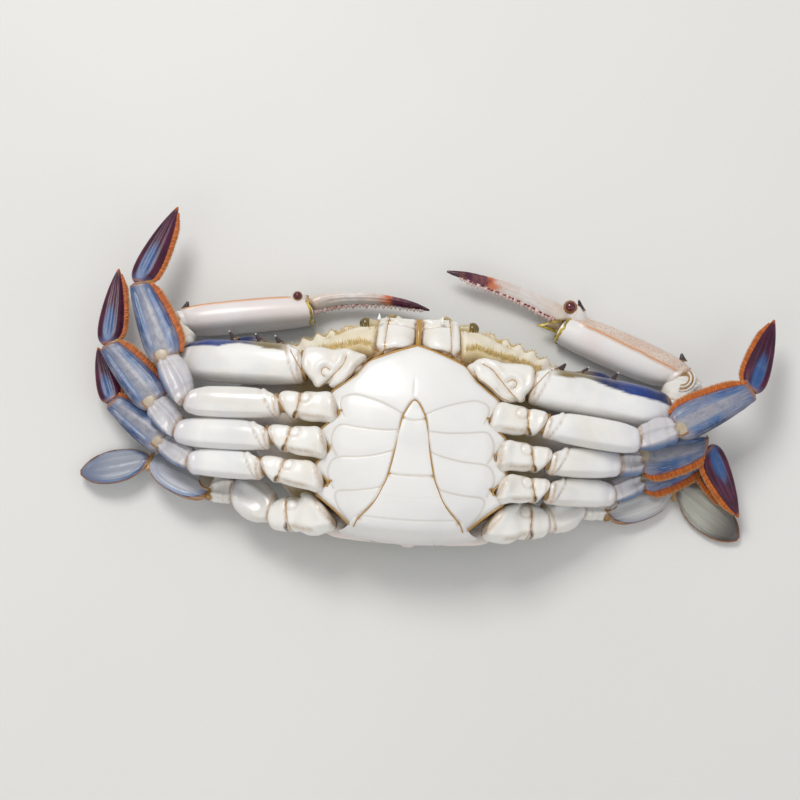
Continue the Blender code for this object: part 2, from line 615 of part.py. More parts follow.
def place_segment(name, rings, frame, origin, finish, parent, hollow=0.0, spines=()):
    """Make a segment's object, with its origin at its inner joint."""
    rest_on_floor(rings)
    bm = loft(rings, hollow)
    for target, direction, reach, base in spines:
        poke_spine(bm, target, direction, reach, base)
    world = frame.to_4x4()
    world.translation = origin
    bm.transform(world.inverted())
    return add_object(name, bm, finish, parent, world)


def facing(side, plan):
    """Level unit vector that points outwards on one side of the body."""
    return Vector((side * plan[0], plan[1], 0.0)).normalized()


def joint_planes(points, side, number):
    """Unit normals of the planes that part the body and each pair of segments."""
    normals = [facing(side, SOCKET_FACES[number])]
    for a, b, c in zip(points, points[1:], points[2:]):
        normals.append(((b - a).normalized() + (c - b).normalized()).normalized())
    if number in SEAM_FACES:
        normals[1] = facing(side, SEAM_FACES[number])
    return normals + [None]


def scaled(sizes, factor):
    """The same segment, wider or narrower."""
    return [(share, wide * factor, thick * factor) for share, wide, thick in sizes]


def spread_sizes(sizes, count):
    """Even rings through a table of sizes."""
    return [(k / (count - 1), *between(sizes, k / (count - 1))) for k in range(count)]


def build_claw(side_name, side, finishes, parent):
    """Great claw: base, merus, carpus, palm with its broken lower finger, and finger."""
    points = [Vector(p) for p in JOINTS[(side_name, 1)]]
    planes = joint_planes(points[:5], side, 1)
    upward = Vector((0, 1, 0))
    palm_along = (points[4] - points[3]).normalized()
    lift = (upward - palm_along * upward.dot(palm_along)).normalized()
    slant = palm_along * math.cos(CLAW_SLANT) + lift * math.sin(CLAW_SLANT)
    edge = (lift - slant * lift.dot(slant)).normalized()
    finger_root = points[4] + edge * FINGER_LIFT[side_name]
    names = ("base", "merus", "carpus", "palm")
    tables = (CLAW_BASE, CLAW_MERUS, CLAW_CARPUS, CLAW_PALM)
    looks = ("shell_joint", "shell_white", "shell_joint", "shell_claw")
    planes[4] = slant
    for k, (part, sizes, look) in enumerate(zip(names, tables, looks)):
        start, end = points[k], points[k + 1]
        roll = math.radians(ROLLS.get((side_name, 1, part), 0.0))
        ends = (planes[k], None if planes[k + 1] is None else -planes[k + 1])
        rings, frame = segment_rings(start, end, sizes, roll, ends, 12)
        spines = []
        if part == "merus":
            out, reach, root = MERUS_SPINE
            for share in MERUS_SPINES:
                target = start.lerp(end, share) + upward * out
                spines.append((target, Vector((side * 0.35, 1.0, 0.1)), reach, root))
        if part == "carpus":
            share, reach, root = CARPUS_SPINE
            target = start.lerp(end, share) + Vector((side * 6.0, 0.0, 2.0))
            spines.append((target, Vector((side * 0.8, 0.5, 0.2)), reach, root))
        if part == "palm":
            share, out, reach, root = PALM_SPINE
            target = start.lerp(end, share) + upward * out
            spines.append((target, Vector((side * 0.2, 1.0, 0.2)), reach, root))
        hollow = STUMP_DEPTH if part == "palm" else 0.0
        place_segment(f"claw_{side_name}_{part}", rings, frame, start, finishes[look],
                      parent, hollow, spines)
    roll = math.radians(ROLLS.get((side_name, 1, "finger"), 0.0))
    sizes = spread_sizes(FINGER_SIZES, FINGER_RINGS)
    rings, frame = segment_rings(finger_root, points[5], sizes, roll, (slant, None), 8,
                                 bow=lift * FINGER_BOW[side_name], teeth=side)
    place_segment(f"claw_{side_name}_finger", rings, frame, finger_root,
                  finishes["shell_dark"], parent)


def build_leg(side_name, side, number, finishes, parent):
    """Walking leg, whose dactyl is a blade, or the last leg, whose dactyl is a paddle."""
    points = [Vector(p) for p in JOINTS[(side_name, number)]]
    planes = joint_planes(points, side, number)
    names = ("base", "merus", "carpus", "propodus", "dactyl")
    tables = (LEG_BASE, LEG_MERUS, LEG_CARPUS, LEG_PROPODUS, LEG_DACTYL)
    looks = ("shell_joint", "shell_white", "shell_joint", "shell_blue", "shell_dark")
    if number == 5:
        names = ("base", "merus", "carpus", "propodus", "paddle")
        tables = (SWIM_BASE, SWIM_MERUS, SWIM_CARPUS, SWIM_PROPODUS, PADDLE)
        looks = ("shell_joint", "shell_joint", "shell_joint", "shell_blue", "shell_blue")
    for k, (part, sizes, look) in enumerate(zip(names, tables, looks)):
        ends = (planes[k], None if planes[k + 1] is None else -planes[k + 1])
        roll = math.radians(ROLLS.get((side_name, number, part), 0.0))
        rings, frame = segment_rings(points[k], points[k + 1], scaled(sizes, LEG_SCALE[number]),
                                     roll, ends, 10)
        place_segment(f"leg{number}_{side_name}_{part}", rings, frame, points[k],
                      finishes[look], parent)


def centre_on_origin(root):
    """Shift everything so that the origin is below the middle of the whole crab."""
    bpy.context.view_layer.update()
    low = Vector((math.inf, math.inf))
    high = Vector((-math.inf, -math.inf))
    for obj in root.children:
        if obj.hide_render:
            continue
        for vertex in obj.data.vertices:
            place = obj.matrix_world @ vertex.co
            low = Vector((min(low.x, place.x), min(low.y, place.y)))
            high = Vector((max(high.x, place.x), max(high.y, place.y)))
    root.location = (-(low.x + high.x) / 2, -(low.y + high.y) / 2, 0.0)
    bpy.context.view_layer.update()


def build_crab():
    """Every piece of the crab."""
    clear_scene()
    finishes = make_finishes()
    root = bpy.data.objects.new("crab", None)
    bpy.context.scene.collection.objects.link(root)
    build_carapace(finishes["shell_back"], root)
    build_thorax(finishes["shell_belly"], finishes["shell_joint"], root)
    build_abdomen(finishes["shell_belly"], root)
    for side_name, side in (("right", -1), ("left", 1)):
        build_maxilliped(side, f"maxilliped_{side_name}", finishes["shell_joint"], root)
        build_eye(side, f"eye_{side_name}", finishes["eye_black"], root)
        build_antenna(side, f"antenna_{side_name}", finishes["feeler"], root)
        build_claw(side_name, side, finishes, root)
        for number in (2, 3, 4, 5):
            build_leg(side_name, side, number, finishes, root)
    centre_on_origin(root)


build_crab()
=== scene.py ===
"""Looks of an adult male blue swimming crab that lies on its back, belly up.

Body places are in millimetres from the middle of the breastplate's ground plan:
+X is the crab's left side, +Y its head end and +Z the way its belly faces.
"""

import math

import bpy
import numpy as np
from mathutils import Matrix, Vector, noise
from mathutils.kdtree import KDTree


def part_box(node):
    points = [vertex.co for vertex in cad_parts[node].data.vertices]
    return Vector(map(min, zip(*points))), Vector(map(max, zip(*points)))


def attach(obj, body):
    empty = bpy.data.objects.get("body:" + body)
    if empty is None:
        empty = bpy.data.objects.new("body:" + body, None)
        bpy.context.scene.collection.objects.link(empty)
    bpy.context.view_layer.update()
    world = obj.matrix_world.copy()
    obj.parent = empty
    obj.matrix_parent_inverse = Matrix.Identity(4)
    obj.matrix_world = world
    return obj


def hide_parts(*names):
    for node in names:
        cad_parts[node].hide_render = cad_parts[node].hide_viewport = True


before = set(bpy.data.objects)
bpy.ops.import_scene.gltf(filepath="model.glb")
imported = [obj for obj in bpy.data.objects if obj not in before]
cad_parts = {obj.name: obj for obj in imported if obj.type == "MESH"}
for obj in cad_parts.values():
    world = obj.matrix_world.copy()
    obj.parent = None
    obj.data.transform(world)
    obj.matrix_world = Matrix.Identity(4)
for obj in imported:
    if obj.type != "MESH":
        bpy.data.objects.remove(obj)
for leftover in ("Cube", "Camera", "Light"):
    if leftover in bpy.data.objects:
        bpy.data.objects.remove(bpy.data.objects[leftover])
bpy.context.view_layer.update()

MM = 0.001
WELD = 1e-6                     # corners closer than this are one corner
FLOOR_GAP = 2e-5                # the skin is kept this far above the floor
CORD_GAP = 0.05                 # and a thin bead this far, in millimetres
ABOVE = 60.0                    # a height over the whole body, from which its skin is felt for
SIDES = (("right", -1), ("left", 1))
UP = Vector((0, 0, 1))

# The breastplate's rear edge lies this far behind the middle that places are measured from
REAR_REACH = 35.4
plate_low, plate_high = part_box("thorax")
MIDDLE = Vector(((plate_low.x + plate_high.x) / 2, plate_low.y + REAR_REACH * MM, 0.0))

# Midline of the belly surface in side view: (y, z), and its fall with the square of x
BELLY_LINE = [(31.0, 31.2), (28.0, 32.4), (20.0, 35.0), (10.0, 36.9), (0.0, 37.6), (-10.0, 37.6),
              (-18.0, 37.2), (-25.0, 36.0), (-30.0, 34.0), (-33.8, 31.2), (-36.0, 28.4)]
BELLY_CROWN = 0.0046

# Breastplate's edge on one side, front to rear: its corners reach out between the limbs
PLATE_MIDDLE = (0.0, -5.0)
PLATE_EDGE = [(0.0, 27.4), (5.5, 25.4), (11.0, 23.2), (16.0, 20.8), (19.4, 16.6), (23.2, 13.4),
              (27.5, 10.3), (27.5, 7.8), (24.9, 2.6), (27.4, 0.0), (30.4, -2.4), (30.0, -4.6),
              (27.2, -9.0), (29.2, -11.6), (31.4, -14.0), (30.9, -16.2), (27.0, -20.6),
              (30.8, -23.6), (29.0, -25.4), (25.0, -28.4), (21.6, -31.2), (18.2, -33.6),
              (11.0, -35.0), (0.0, -35.4)]
PLATE_TURNS = 620               # points round the breastplate's fine mesh
PLATE_ROWS = 104                # rows from its middle to its edge
WALL_ROWS = 8                   # rows down its side

# Grooves between the breastplate's segments, on one side: (x, y) from the tail flap outwards
SUTURES = [
    [(3.4, 3.0), (7.6, 5.2), (12.6, 7.2), (19.4, 8.9), (23.6, 8.0), (24.4, 5.4), (23.0, 1.6)],
    [(5.2, -2.3), (11.0, -2.5), (18.0, -1.9), (24.0, -1.3), (26.4, -4.4), (26.3, -8.2), (24.6, -11.4)],
    [(6.2, -9.2), (11.0, -10.6), (17.0, -11.6), (24.6, -12.1), (27.0, -15.0), (26.8, -18.6), (25.0, -22.0)],
    [(9.0, -21.0), (13.0, -21.9), (18.0, -22.5), (24.0, -23.1), (23.2, -27.6), (19.4, -32.2)],
]
SUTURE_DEPTH = 0.22
SUTURE_WIDTH = 0.27
LOBE_DEPTH = 0.12               # broad hollow on both sides of a groove
LOBE_WIDTH = 1.8
# Hinge points where the limbs meet the breastplate, on one side, and the hook drawn at each
CONDYLES = [(20.0, 16.2), (25.0, 2.5), (27.4, -8.9), (27.0, -20.5)]
HINGE_HOOK = ((-1.5, 1.0), (-0.5, 1.2), (0.4, 0.7), (0.6, -0.2), (0.1, -0.9))

# Tail flap's half width from its rear edge to its tip: (y, half width)
FLAP_EDGE = [(-33.8, 17.9), (-31.0, 16.4), (-28.0, 13.3), (-24.6, 10.7), (-21.0, 9.0), (-17.0, 7.4),
             (-8.0, 5.5), (1.1, 4.0), (4.2, 2.8), (6.4, 1.6), (7.6, 0.5), (7.9, 0.0)]
FLAP_BULGES = ((1.1, 1.4), (-17.0, 0.5))    # (y of a joint, how round the flap is behind it)
FLAP_JOINTS = ((1.1, 0.9, 1.0), (-17.0, 0.3, 0.9), (-24.2, 1.0, 0.12), (-31.2, 1.0, 0.5))  # (y, bow, depth)
FLAP_CORNERS = ((3.9, 1.9), (7.3, -16.8), (16.2, -31.0))   # amber spots at the joints' ends

# Seams: half width of the amber line and its depth
SEAM_HALF = 0.16
SEAM_DEPTH = 0.22
# A solid's corner is a spine if it stands this far out and all its edges fall away this steeply
SPINE_LEAST = 2.3
SPINE_SHARP = 0.3
# A rounded skin is pulled out to its solid's corners in this many rounds, by this share each
CAGE_ROUNDS = 2
CAGE_PULL = 0.85
THORN_RINGS = (0.2, 0.45, 0.7, 0.88)    # edge rings along a spine
WALL_SLOPE = 0.35               # the breastplate's steeper faces are its side, of joint skin
EDGE_DROP = 1.5                 # fall of the breastplate's last bit of edge, in millimetres
LOBE_DROP = 1.1                 # and the wider fall towards its corners
FLAP_BED = 1.7                  # depth of the bed that the tail flap lies in
CONDYLE_DEPTH = 0.5
BELLY_NOISE = 0.16

rng = np.random.default_rng(7)
spines = {}                     # places of the flattened spines of each solid


# ------------------------------------------------------------ meshes

def spot(x, y, z=0.0):
    """A body place in millimetres as a point of the frame in metres."""
    return MIDDLE + Vector((x, y, z)) * MM


def select_only(piece):
    """Make one object the selected and active one."""
    bpy.ops.object.select_all(action="DESELECT")
    piece.select_set(True)
    bpy.context.view_layer.objects.active = piece


def edit(piece):
    """Open a piece in edit mode with all of it selected."""
    select_only(piece)
    bpy.ops.object.mode_set(mode="EDIT")
    bpy.ops.mesh.select_mode(type="VERT")
    bpy.ops.mesh.select_all(action="SELECT")


def leave_edit():
    bpy.ops.object.mode_set(mode="OBJECT")


def started(name):
    """Name the primitive that was just added, with its place put into its mesh."""
    piece = bpy.context.active_object
    piece.name = name
    piece.data.name = name
    bpy.ops.object.transform_apply(location=True, rotation=True, scale=True)
    return piece


def linked(name, data):
    """A new object in the scene."""
    made = bpy.data.objects.new(name, data)
    bpy.context.scene.collection.objects.link(made)
    return made


def fitted(piece, look, smooth=True):
    """Give a small piece its one finish and attach it."""
    if smooth:
        select_only(piece)
        bpy.ops.object.shade_smooth()
    piece.data.materials.clear()
    piece.data.materials.append(LOOKS[look])
    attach(piece, "root")
    return piece


def sliced(piece, places, normal):
    """Cut new edge rings through a piece at each place, square to the normal."""
    edit(piece)
    for place in places:
        bpy.ops.mesh.select_all(action="SELECT")
        bpy.ops.mesh.bisect(plane_co=place, plane_no=normal)
    leave_edit()


def read(mesh, what="co"):
    """Places of a mesh's corners, or their normals, as rows of three numbers."""
    flat = np.empty(len(mesh.vertices) * 3)
    mesh.vertices.foreach_get(what, flat)
    return flat.reshape(-1, 3)


def body(mesh):
    """Body places of a mesh's corners."""
    return (read(mesh) - np.array(MIDDLE)) / MM


def write(mesh, points):
    mesh.vertices.foreach_set("co", np.asarray(points, float).ravel())
    mesh.update()


def paint(mesh, name, *values):
    """Store up to three numbers for each corner as one vector attribute."""
    columns = np.zeros((len(mesh.vertices), 3), np.float32)
    for k, value in enumerate(values):
        columns[:, k] = value
    attribute = mesh.attributes.get(name) or mesh.attributes.new(name, "FLOAT_VECTOR", "POINT")
    attribute.data.foreach_set("vector", columns.ravel())


def unit(rows):
    """Rows of vectors brought to length one."""
    return rows / np.linalg.norm(rows, axis=1)[:, None]


def evened(values):
    """Running mean of five neighbours."""
    return np.convolve(np.pad(values, 2, mode="edge"), np.ones(5) / 5, mode="valid")


def ridge(x, centre, width):
    """A smooth bump of height one."""
    return np.exp(-((x - centre) / width) ** 2)


def ridges(x, *table):
    """Sum of bumps, each given as height, centre and width."""
    return sum(height * ridge(x, centre, width) for height, centre, width in table)


def ease(x, low, high):
    """Smooth step from 0 at low to 1 at high."""
    share = np.clip((x - low) / (high - low), 0.0, 1.0)
    return share * share * (3 - 2 * share)


def stretch(x, low, full, fade, end):
    """1 between full and fade, easing to 0 at low and end."""
    return ease(x, low, full) * (1 - ease(x, fade, end))


def wander(points, scale, seed):
    """Smooth noise between -1 and 1 at points in metres; scale is its size in millimetres."""
    shift = Vector((seed * 17.3, seed * 5.1, seed * 9.7))
    grain = 1.0 / (scale * MM)
    return np.array([noise.noise(Vector(p) * grain + shift) for p in points])


def sculpt(mesh, height):
    """Move each corner along its normal, in millimetres."""
    write(mesh, read(mesh) + read(mesh, "normal") * (np.asarray(height) * MM)[:, None])


def distance_to_path(places, path):
    """Distance of (x, y) places to a line through the path's points."""
    nearest = np.full(len(places), np.inf)
    for a, b in zip(path, path[1:]):
        a, b = np.array(a), np.array(b)
        along = b - a
        share = np.clip((places - a) @ along / (along @ along), 0.0, 1.0)
        nearest = np.minimum(nearest, np.linalg.norm(places - a - share[:, None] * along, axis=1))
    return nearest


def smooth_path(path, steps=6):
    """A rounded line through the path's points."""
    points = [np.array(p, float) for p in path]
    points = [2 * points[0] - points[1]] + points + [2 * points[-1] - points[-2]]
    made = []
    for a, b, c, d in zip(points, points[1:], points[2:], points[3:]):
        for k in range(steps):
            t = k / steps
            made.append(0.5 * (2 * b + (c - a) * t + (2 * a - 5 * b + 4 * c - d) * t * t
                               + (3 * b - a - 3 * c + d) * t ** 3))
    return made + [points[-2]]


def felt(piece, x, y):
    """What a straight line down through a body place strikes: whether, where and the normal there."""
    return piece.ray_cast(spot(x, y, ABOVE), -UP)[:3]


def top_of(piece, x, y, reach):
    """Height of a piece's highest corner near a body place, or -1 where it has none."""
    points = body(piece.data)
    near = np.hypot(points[:, 0] - x, points[:, 1] - y) < reach
    return points[near][:, 2].max() if near.any() else -1.0


def flatten_spines(mesh):
    """Press the solid's plain spines back into the skin; gives their roots and how they point."""
    points = read(mesh)
    links = np.empty(len(mesh.edges) * 2, int)
    mesh.edges.foreach_get("vertices", links)
    links = links.reshape(-1, 2)
    found = []
    for k in range(len(points)):
        near = links[(links == k).any(axis=1)]
        ring = points[near[near != k]]
        root = ring.mean(axis=0)
        rise = points[k] - root
        height = np.linalg.norm(rise)
        if height >= SPINE_LEAST * MM and (unit(ring - points[k]) @ rise).max() < -SPINE_SHARP * height:
            found.append((Vector(root), Vector(rise)))
    for root, rise in found:
        points[np.argmin(np.linalg.norm(points - np.array(root + rise), axis=1))] = root
    write(mesh, points)
    return found


def skin_of(node, name, levels=3):
    """A smooth copy of a solid that passes through the solid's own corners."""
    piece = linked(name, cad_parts[node].data.copy())
    piece.data.materials.clear()
    edit(piece)
    bpy.ops.mesh.remove_doubles(threshold=WELD)
    bpy.ops.mesh.customdata_custom_splitnormals_clear()
    bpy.ops.mesh.mark_sharp(clear=True)
    leave_edit()
    if node.startswith("claw"):
        spines[node] = flatten_spines(piece.data)
    edit(piece)
    bpy.ops.mesh.tris_convert_to_quads(face_threshold=math.radians(60), shape_threshold=math.radians(80))
    leave_edit()
    rounding = piece.modifiers.new("rounding", "SUBSURF")
    rounding.levels = rounding.render_levels = 1
    wanted = read(piece.data)
    cage = wanted.copy()
    for _ in range(CAGE_ROUNDS):
        depsgraph = bpy.context.evaluated_depsgraph_get()
        settled = read(piece.evaluated_get(depsgraph).to_mesh())[:len(wanted)]
        cage += CAGE_PULL * (wanted - settled)
        write(piece.data, cage)
    rounding.levels = rounding.render_levels = levels
    bpy.ops.object.modifier_apply(modifier=rounding.name)
    return piece


def finished(piece, node, slot, *looks):
    """Shade, colour and attach the piece that stands for a solid."""
    points = read(piece.data)
    points[:, 2] = np.maximum(points[:, 2], FLOOR_GAP)
    write(piece.data, points)
    select_only(piece)
    bpy.ops.object.shade_smooth()
    for look in looks:
        piece.data.materials.append(LOOKS[look])
    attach(piece, "root")
    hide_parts(node)
    return piece


def relax(piece, repeat):
    """Soften the flat faces left over from the solid."""
    edit(piece)
    bpy.ops.mesh.vertices_smooth(factor=0.5, repeat=repeat)
    leave_edit()


def cut_seam(piece, at, normal, half_width=SEAM_HALF, depth=SEAM_DEPTH):
    """Cut a narrow groove round a piece in one plane; its floor gets the second material."""
    normal = Vector(normal).normalized()
    sliced(piece, [Vector(at) + normal * offset * MM for offset in (-half_width, 0.0, half_width)], normal)
    mesh = piece.data
    side = (read(mesh) - np.array(at)) @ np.array(normal) / MM
    sculpt(mesh, -depth * (np.abs(side) < half_width * 0.2))
    for face in mesh.polygons:
        if abs((face.center - Vector(at)).dot(normal)) < half_width * MM * 0.98:
            face.material_index = 1


# ------------------------------------------------------------ material tools

class Nodes:
    """Short ways to add shader nodes to one tree."""

    def __init__(self, tree):
        self.tree = tree

    def put(self, socket, value):
        """Link a socket to another node's output, or give it a value."""
        if isinstance(value, bpy.types.NodeSocket):
            self.tree.links.new(value, socket)
        else:
            socket.default_value = (*value, 1.0) if socket.type == "RGBA" else value

    def add(self, kind, inputs, **settings):
        """Add a node with its settings and inputs."""
        made = self.tree.nodes.new("ShaderNode" + kind)
        for key, value in settings.items():
            setattr(made, key, value)
        for key, value in inputs.items():
            self.put(made.inputs[key], value)
        return made.outputs

    def math(self, operation, a, b):
        return self.add("Math", {0: a, 1: b}, operation=operation)[0]

    def times(self, a, b):
        return self.math("MULTIPLY", a, b)

    def mix(self, share, below, above, strength=None):
        """Lay one colour over another."""
        share = share if strength is None else self.times(share, strength)
        return self.add("Mix", {0: share, 6: below, 7: above}, data_type="RGBA", blend_type="MIX")[2]

    def band(self, value, low, high, kind="LINEAR"):
        """A value's share of the way from low to high."""
        return self.add("MapRange", {"Value": value, "From Min": low, "From Max": high},
                        interpolation_type=kind)[0]

    def eased(self, value, low, high):
        return self.band(value, low, high, "SMOOTHSTEP")

    def noise(self, place, scale, detail, **more):
        return self.add("TexNoise", {"Vector": place, "Scale": scale, "Detail": detail, **more})["Fac"]

    def ramp(self, value, *stops):
        """Colours, or greys, along a value: (place, colour) stops."""
        made = self.tree.nodes.new("ShaderNodeValToRGB")
        self.put(made.inputs["Fac"], value)
        made.color_ramp.interpolation = "EASE"
        while len(made.color_ramp.elements) < len(stops):
            made.color_ramp.elements.new(0.5)
        for element, (place, colour) in zip(made.color_ramp.elements, stops):
            element.position = place
            element.color = (*(colour if hasattr(colour, "__len__") else (colour,) * 3), 1.0)
        return made.outputs["Color"]


SOCKETS = {"v": "NodeSocketVector", "f": "NodeSocketFloat", "c": "NodeSocketColor"}


def new_group(name, inputs, outputs):
    """An empty node group with named sockets; gives its nodes, inputs and outputs."""
    tree = bpy.data.node_groups.new(name, "ShaderNodeTree")
    for label, kind, *value in inputs:
        socket = tree.interface.new_socket(label, in_out="INPUT", socket_type=SOCKETS[kind])
        if value:
            socket.default_value = value[0]
    for label, kind in outputs:
        tree.interface.new_socket(label, in_out="OUTPUT", socket_type=SOCKETS[kind])
    given = tree.nodes.new("NodeGroupInput").outputs
    return Nodes(tree), given, tree.nodes.new("NodeGroupOutput").inputs


def make_shell_grain():
    """Fine pits and soft unevenness of limy shell, as a height and a tone."""
    nodes, given, out = new_group("shell_grain", [("Vector", "v"), ("Scale", "f", 500.0), ("Pits", "f", 0.4)],
                                  [("Height", "f"), ("Tone", "f")])
    soft = nodes.noise(given["Vector"], given["Scale"], 4.0, Roughness=0.6)
    cells = nodes.add("TexVoronoi", {"Vector": given["Vector"], "Scale": nodes.times(given["Scale"], 3.1)})
    deep = nodes.times(nodes.band(cells["Distance"], 0.05, 0.4), given["Pits"])
    nodes.put(out["Height"], nodes.math("ADD", soft, deep))
    nodes.put(out["Tone"], soft)
    return nodes.tree


def make_clouding():
    """Large soft patches of a second colour."""
    nodes, given, out = new_group("clouding", [("Vector", "v"), ("Colour", "c"), ("Cloud", "c"),
                                               ("Scale", "f", 60.0), ("Amount", "f", 0.5)], [("Colour", "c")])
    cloud = nodes.noise(given["Vector"], given["Scale"], 3.0, Distortion=0.4)
    share = nodes.eased(cloud, 0.42, 0.68)
    nodes.put(out["Colour"], nodes.mix(share, given["Colour"], given["Cloud"], given["Amount"]))
    return nodes.tree


def make_stain():
    """Brown film caught in seams and joints, broken up so that it isn't even."""
    nodes, given, out = new_group(
        "joint_stain", [("Vector", "v"), ("Colour", "c"), ("Stain", "c", (0.40, 0.20, 0.035, 1.0)),
                        ("Mask", "f", 0.0), ("Scale", "f", 700.0)], [("Colour", "c")])
    broken = nodes.times(nodes.noise(given["Vector"], given["Scale"], 3.0), 1.5)
    share = nodes.add("Clamp", {"Value": nodes.times(given["Mask"], broken)})[0]
    nodes.put(out["Colour"], nodes.mix(share, given["Colour"], given["Stain"]))
    return nodes.tree


def make_wet_film():
    """Sea water drying unevenly: roughness and how much clear film lies on the shell."""
    nodes, given, out = new_group(
        "wet_film", [("Vector", "v"), ("Roughness", "f", 0.3), ("Spread", "f", 0.15), ("Film", "f", 0.5),
                     ("Scale", "f", 90.0)], [("Roughness", "f"), ("Coat", "f")])
    wet = nodes.noise(given["Vector"], given["Scale"], 2.0)
    change = nodes.times(nodes.math("SUBTRACT", wet, 0.5), given["Spread"])
    nodes.put(out["Roughness"], nodes.math("ADD", given["Roughness"], change))
    nodes.put(out["Coat"], nodes.times(nodes.band(wet, 0.3, 0.6), given["Film"]))
    return nodes.tree


GROUPS = {"grain": make_shell_grain(), "cloud": make_clouding(),
          "stain": make_stain(), "film": make_wet_film()}


class Finish(Nodes):
    """A material being made, on the object's own coordinates."""

    def __init__(self, name):
        self.material = bpy.data.materials.new(name)
        self.material.use_nodes = True
        super().__init__(self.material.node_tree)
        self.shader = self.tree.nodes["Principled BSDF"].inputs
        self.place = self.tree.nodes.new("ShaderNodeTexCoord").outputs["Object"]

    def group(self, name, **inputs):
        """Put a shared effect into the material with its own values."""
        return self.add("Group", {"Vector": self.place, **inputs}, node_tree=GROUPS[name])

    def read(self, name):
        """The three numbers that paint stored under one name."""
        source = self.add("Attribute", {}, attribute_name=name)
        return self.add("SeparateXYZ", {0: source["Vector"]})

    def cloud(self, colour, cloud, scale, amount):
        return self.group("cloud", Colour=colour, Cloud=cloud, Scale=scale, Amount=amount)["Colour"]

    def stained(self, colour, mask, **stain):
        return self.group("stain", Colour=colour, Mask=mask, **stain)["Colour"]

    def fibres(self, along, across, through, count, scale, detail):
        """Noise drawn out along a segment."""
        run = self.add("CombineXYZ", {0: self.times(along, count), 1: self.times(across, 9.0), 2: through})
        return self.noise(run[0], scale, detail)

    def dressed(self, colour, roughness=0.3, film=0.5, grain=500.0, bump=0.15, pits=0.4, specular=0.5):
        """Connect a colour to the shader with grain and a wet film."""
        grains = self.group("grain", Scale=grain, Pits=pits)
        films = self.group("film", Roughness=roughness, Film=film)
        raised = self.add("Bump", {"Height": grains["Height"], "Strength": bump, "Distance": 0.0002})
        for name, value in (("Base Color", colour), ("Roughness", films["Roughness"]),
                            ("Coat Weight", films["Coat"]), ("Normal", raised[0])):
            self.put(self.shader[name], value)
        self.shader["Coat Roughness"].default_value = 0.2
        self.shader["Specular IOR Level"].default_value = specular
        return self.material


# ------------------------------------------------------------ materials

WHITE = (0.91, 0.905, 0.885)
TAN = (0.44, 0.25, 0.07)


def make_porcelain():
    """White of the upper limb segments, with a faint blue bloom, painted shade along the lower edge and dull
    blue-olive backs.
    """
    shell = Finish("porcelain_shell")
    along, across, through = shell.read("place")
    stain, window, dark = shell.read("marks")
    # Painted shade: warm grey along the segment's lower edge, where across runs towards -1.
    lower = shell.mix(shell.band(across, -0.35, -1.0), shell.cloud(WHITE, (0.72, 0.76, 0.82), 70.0, 0.5),
                      (0.62, 0.60, 0.58), 0.4)
    cooled = shell.mix(shell.band(along, 0.72, 1.1), lower, (0.60, 0.60, 0.68))
    warm = shell.cloud(cooled, (0.74, 0.64, 0.50), 34.0, 0.35)
    back = shell.cloud((0.10, 0.15, 0.23), (0.45, 0.46, 0.42), 160.0, 0.8)
    skin = shell.mix(shell.eased(through, -0.25, -0.7), warm, back)
    strip = shell.ramp(along, (0.0, (0.30, 0.20, 0.07)), (0.35, (0.20, 0.15, 0.06)),
                       (0.50, (0.010, 0.018, 0.10)), (0.72, (0.014, 0.045, 0.24)),
                       (1.0, (0.008, 0.016, 0.08)))
    striped = shell.mix(dark, skin, shell.cloud(strip, (0.20, 0.21, 0.22), 330.0, 0.16))
    windowed = shell.mix(window, striped, TAN)
    return shell.dressed(shell.stained(windowed, stain), 0.24, 0.8, 420.0, 0.14)


def make_joint_shell(name, base, cloud, edge, roughness=0.33):
    """Cream-white or lilac shell of a short segment; edge is its colour where marked dark: on the knuckles
    their own edge colour, on the bases the brown painted shade of the slit.
    """
    shell = Finish(name)
    through = shell.read("place")[2]
    stain, _, dark = shell.read("marks")
    back = shell.cloud((0.30, 0.29, 0.22), (0.56, 0.53, 0.42), 200.0, 0.8)
    skin = shell.mix(shell.eased(through, -0.35, -0.8), shell.cloud(base, cloud, 110.0, 0.5), back)
    return shell.dressed(shell.stained(shell.mix(dark, skin, edge), stain), roughness, 0.5, 520.0, 0.2)


def make_blue_shell():
    """Propodus: lilac-grey middle finely mottled, blue edges, navy outer end, violet inner line."""
    shell = Finish("blue_shell")
    along, across, through = shell.read("place")
    stain, window, _ = shell.read("marks")
    belly = shell.ramp(shell.band(across, -1.0, 1.0), (0.0, (0.010, 0.018, 0.05)), (0.08, (0.03, 0.06, 0.16)),
                       (0.22, (0.05, 0.13, 0.31)), (0.38, (0.30, 0.31, 0.37)), (0.58, (0.34, 0.335, 0.385)),
                       (0.74, (0.06, 0.15, 0.35)), (0.90, (0.03, 0.085, 0.25)), (0.965, (0.10, 0.04, 0.14)))
    faded = shell.mix(shell.band(along, 0.26, 0.0), belly, (0.42, 0.41, 0.45), 0.55)
    deepened = shell.mix(shell.band(along, 0.62, 1.0), faded, (0.035, 0.075, 0.20), 0.7)
    broad = shell.cloud(deepened, (0.30, 0.29, 0.34), 130.0, 0.5)
    mottled = shell.cloud(broad, (0.13, 0.16, 0.24), 620.0, 0.42)
    pale_lines = shell.band(shell.fibres(along, across, through, 3.0, 1.7, 5.0), 0.5, 0.72)
    mottled = shell.mix(pale_lines, mottled, (0.42, 0.45, 0.52), 0.5)
    back = shell.cloud((0.05, 0.10, 0.24), (0.34, 0.42, 0.50), 260.0, 0.8)
    skin = shell.mix(shell.eased(through, -0.1, -0.5), mottled, back)
    windowed = shell.mix(window, skin, (0.60, 0.50, 0.36))
    return shell.dressed(shell.stained(windowed, stain, Stain=(0.42, 0.16, 0.03)), 0.36, 0.3, 600.0, 0.4,
                         specular=0.4)


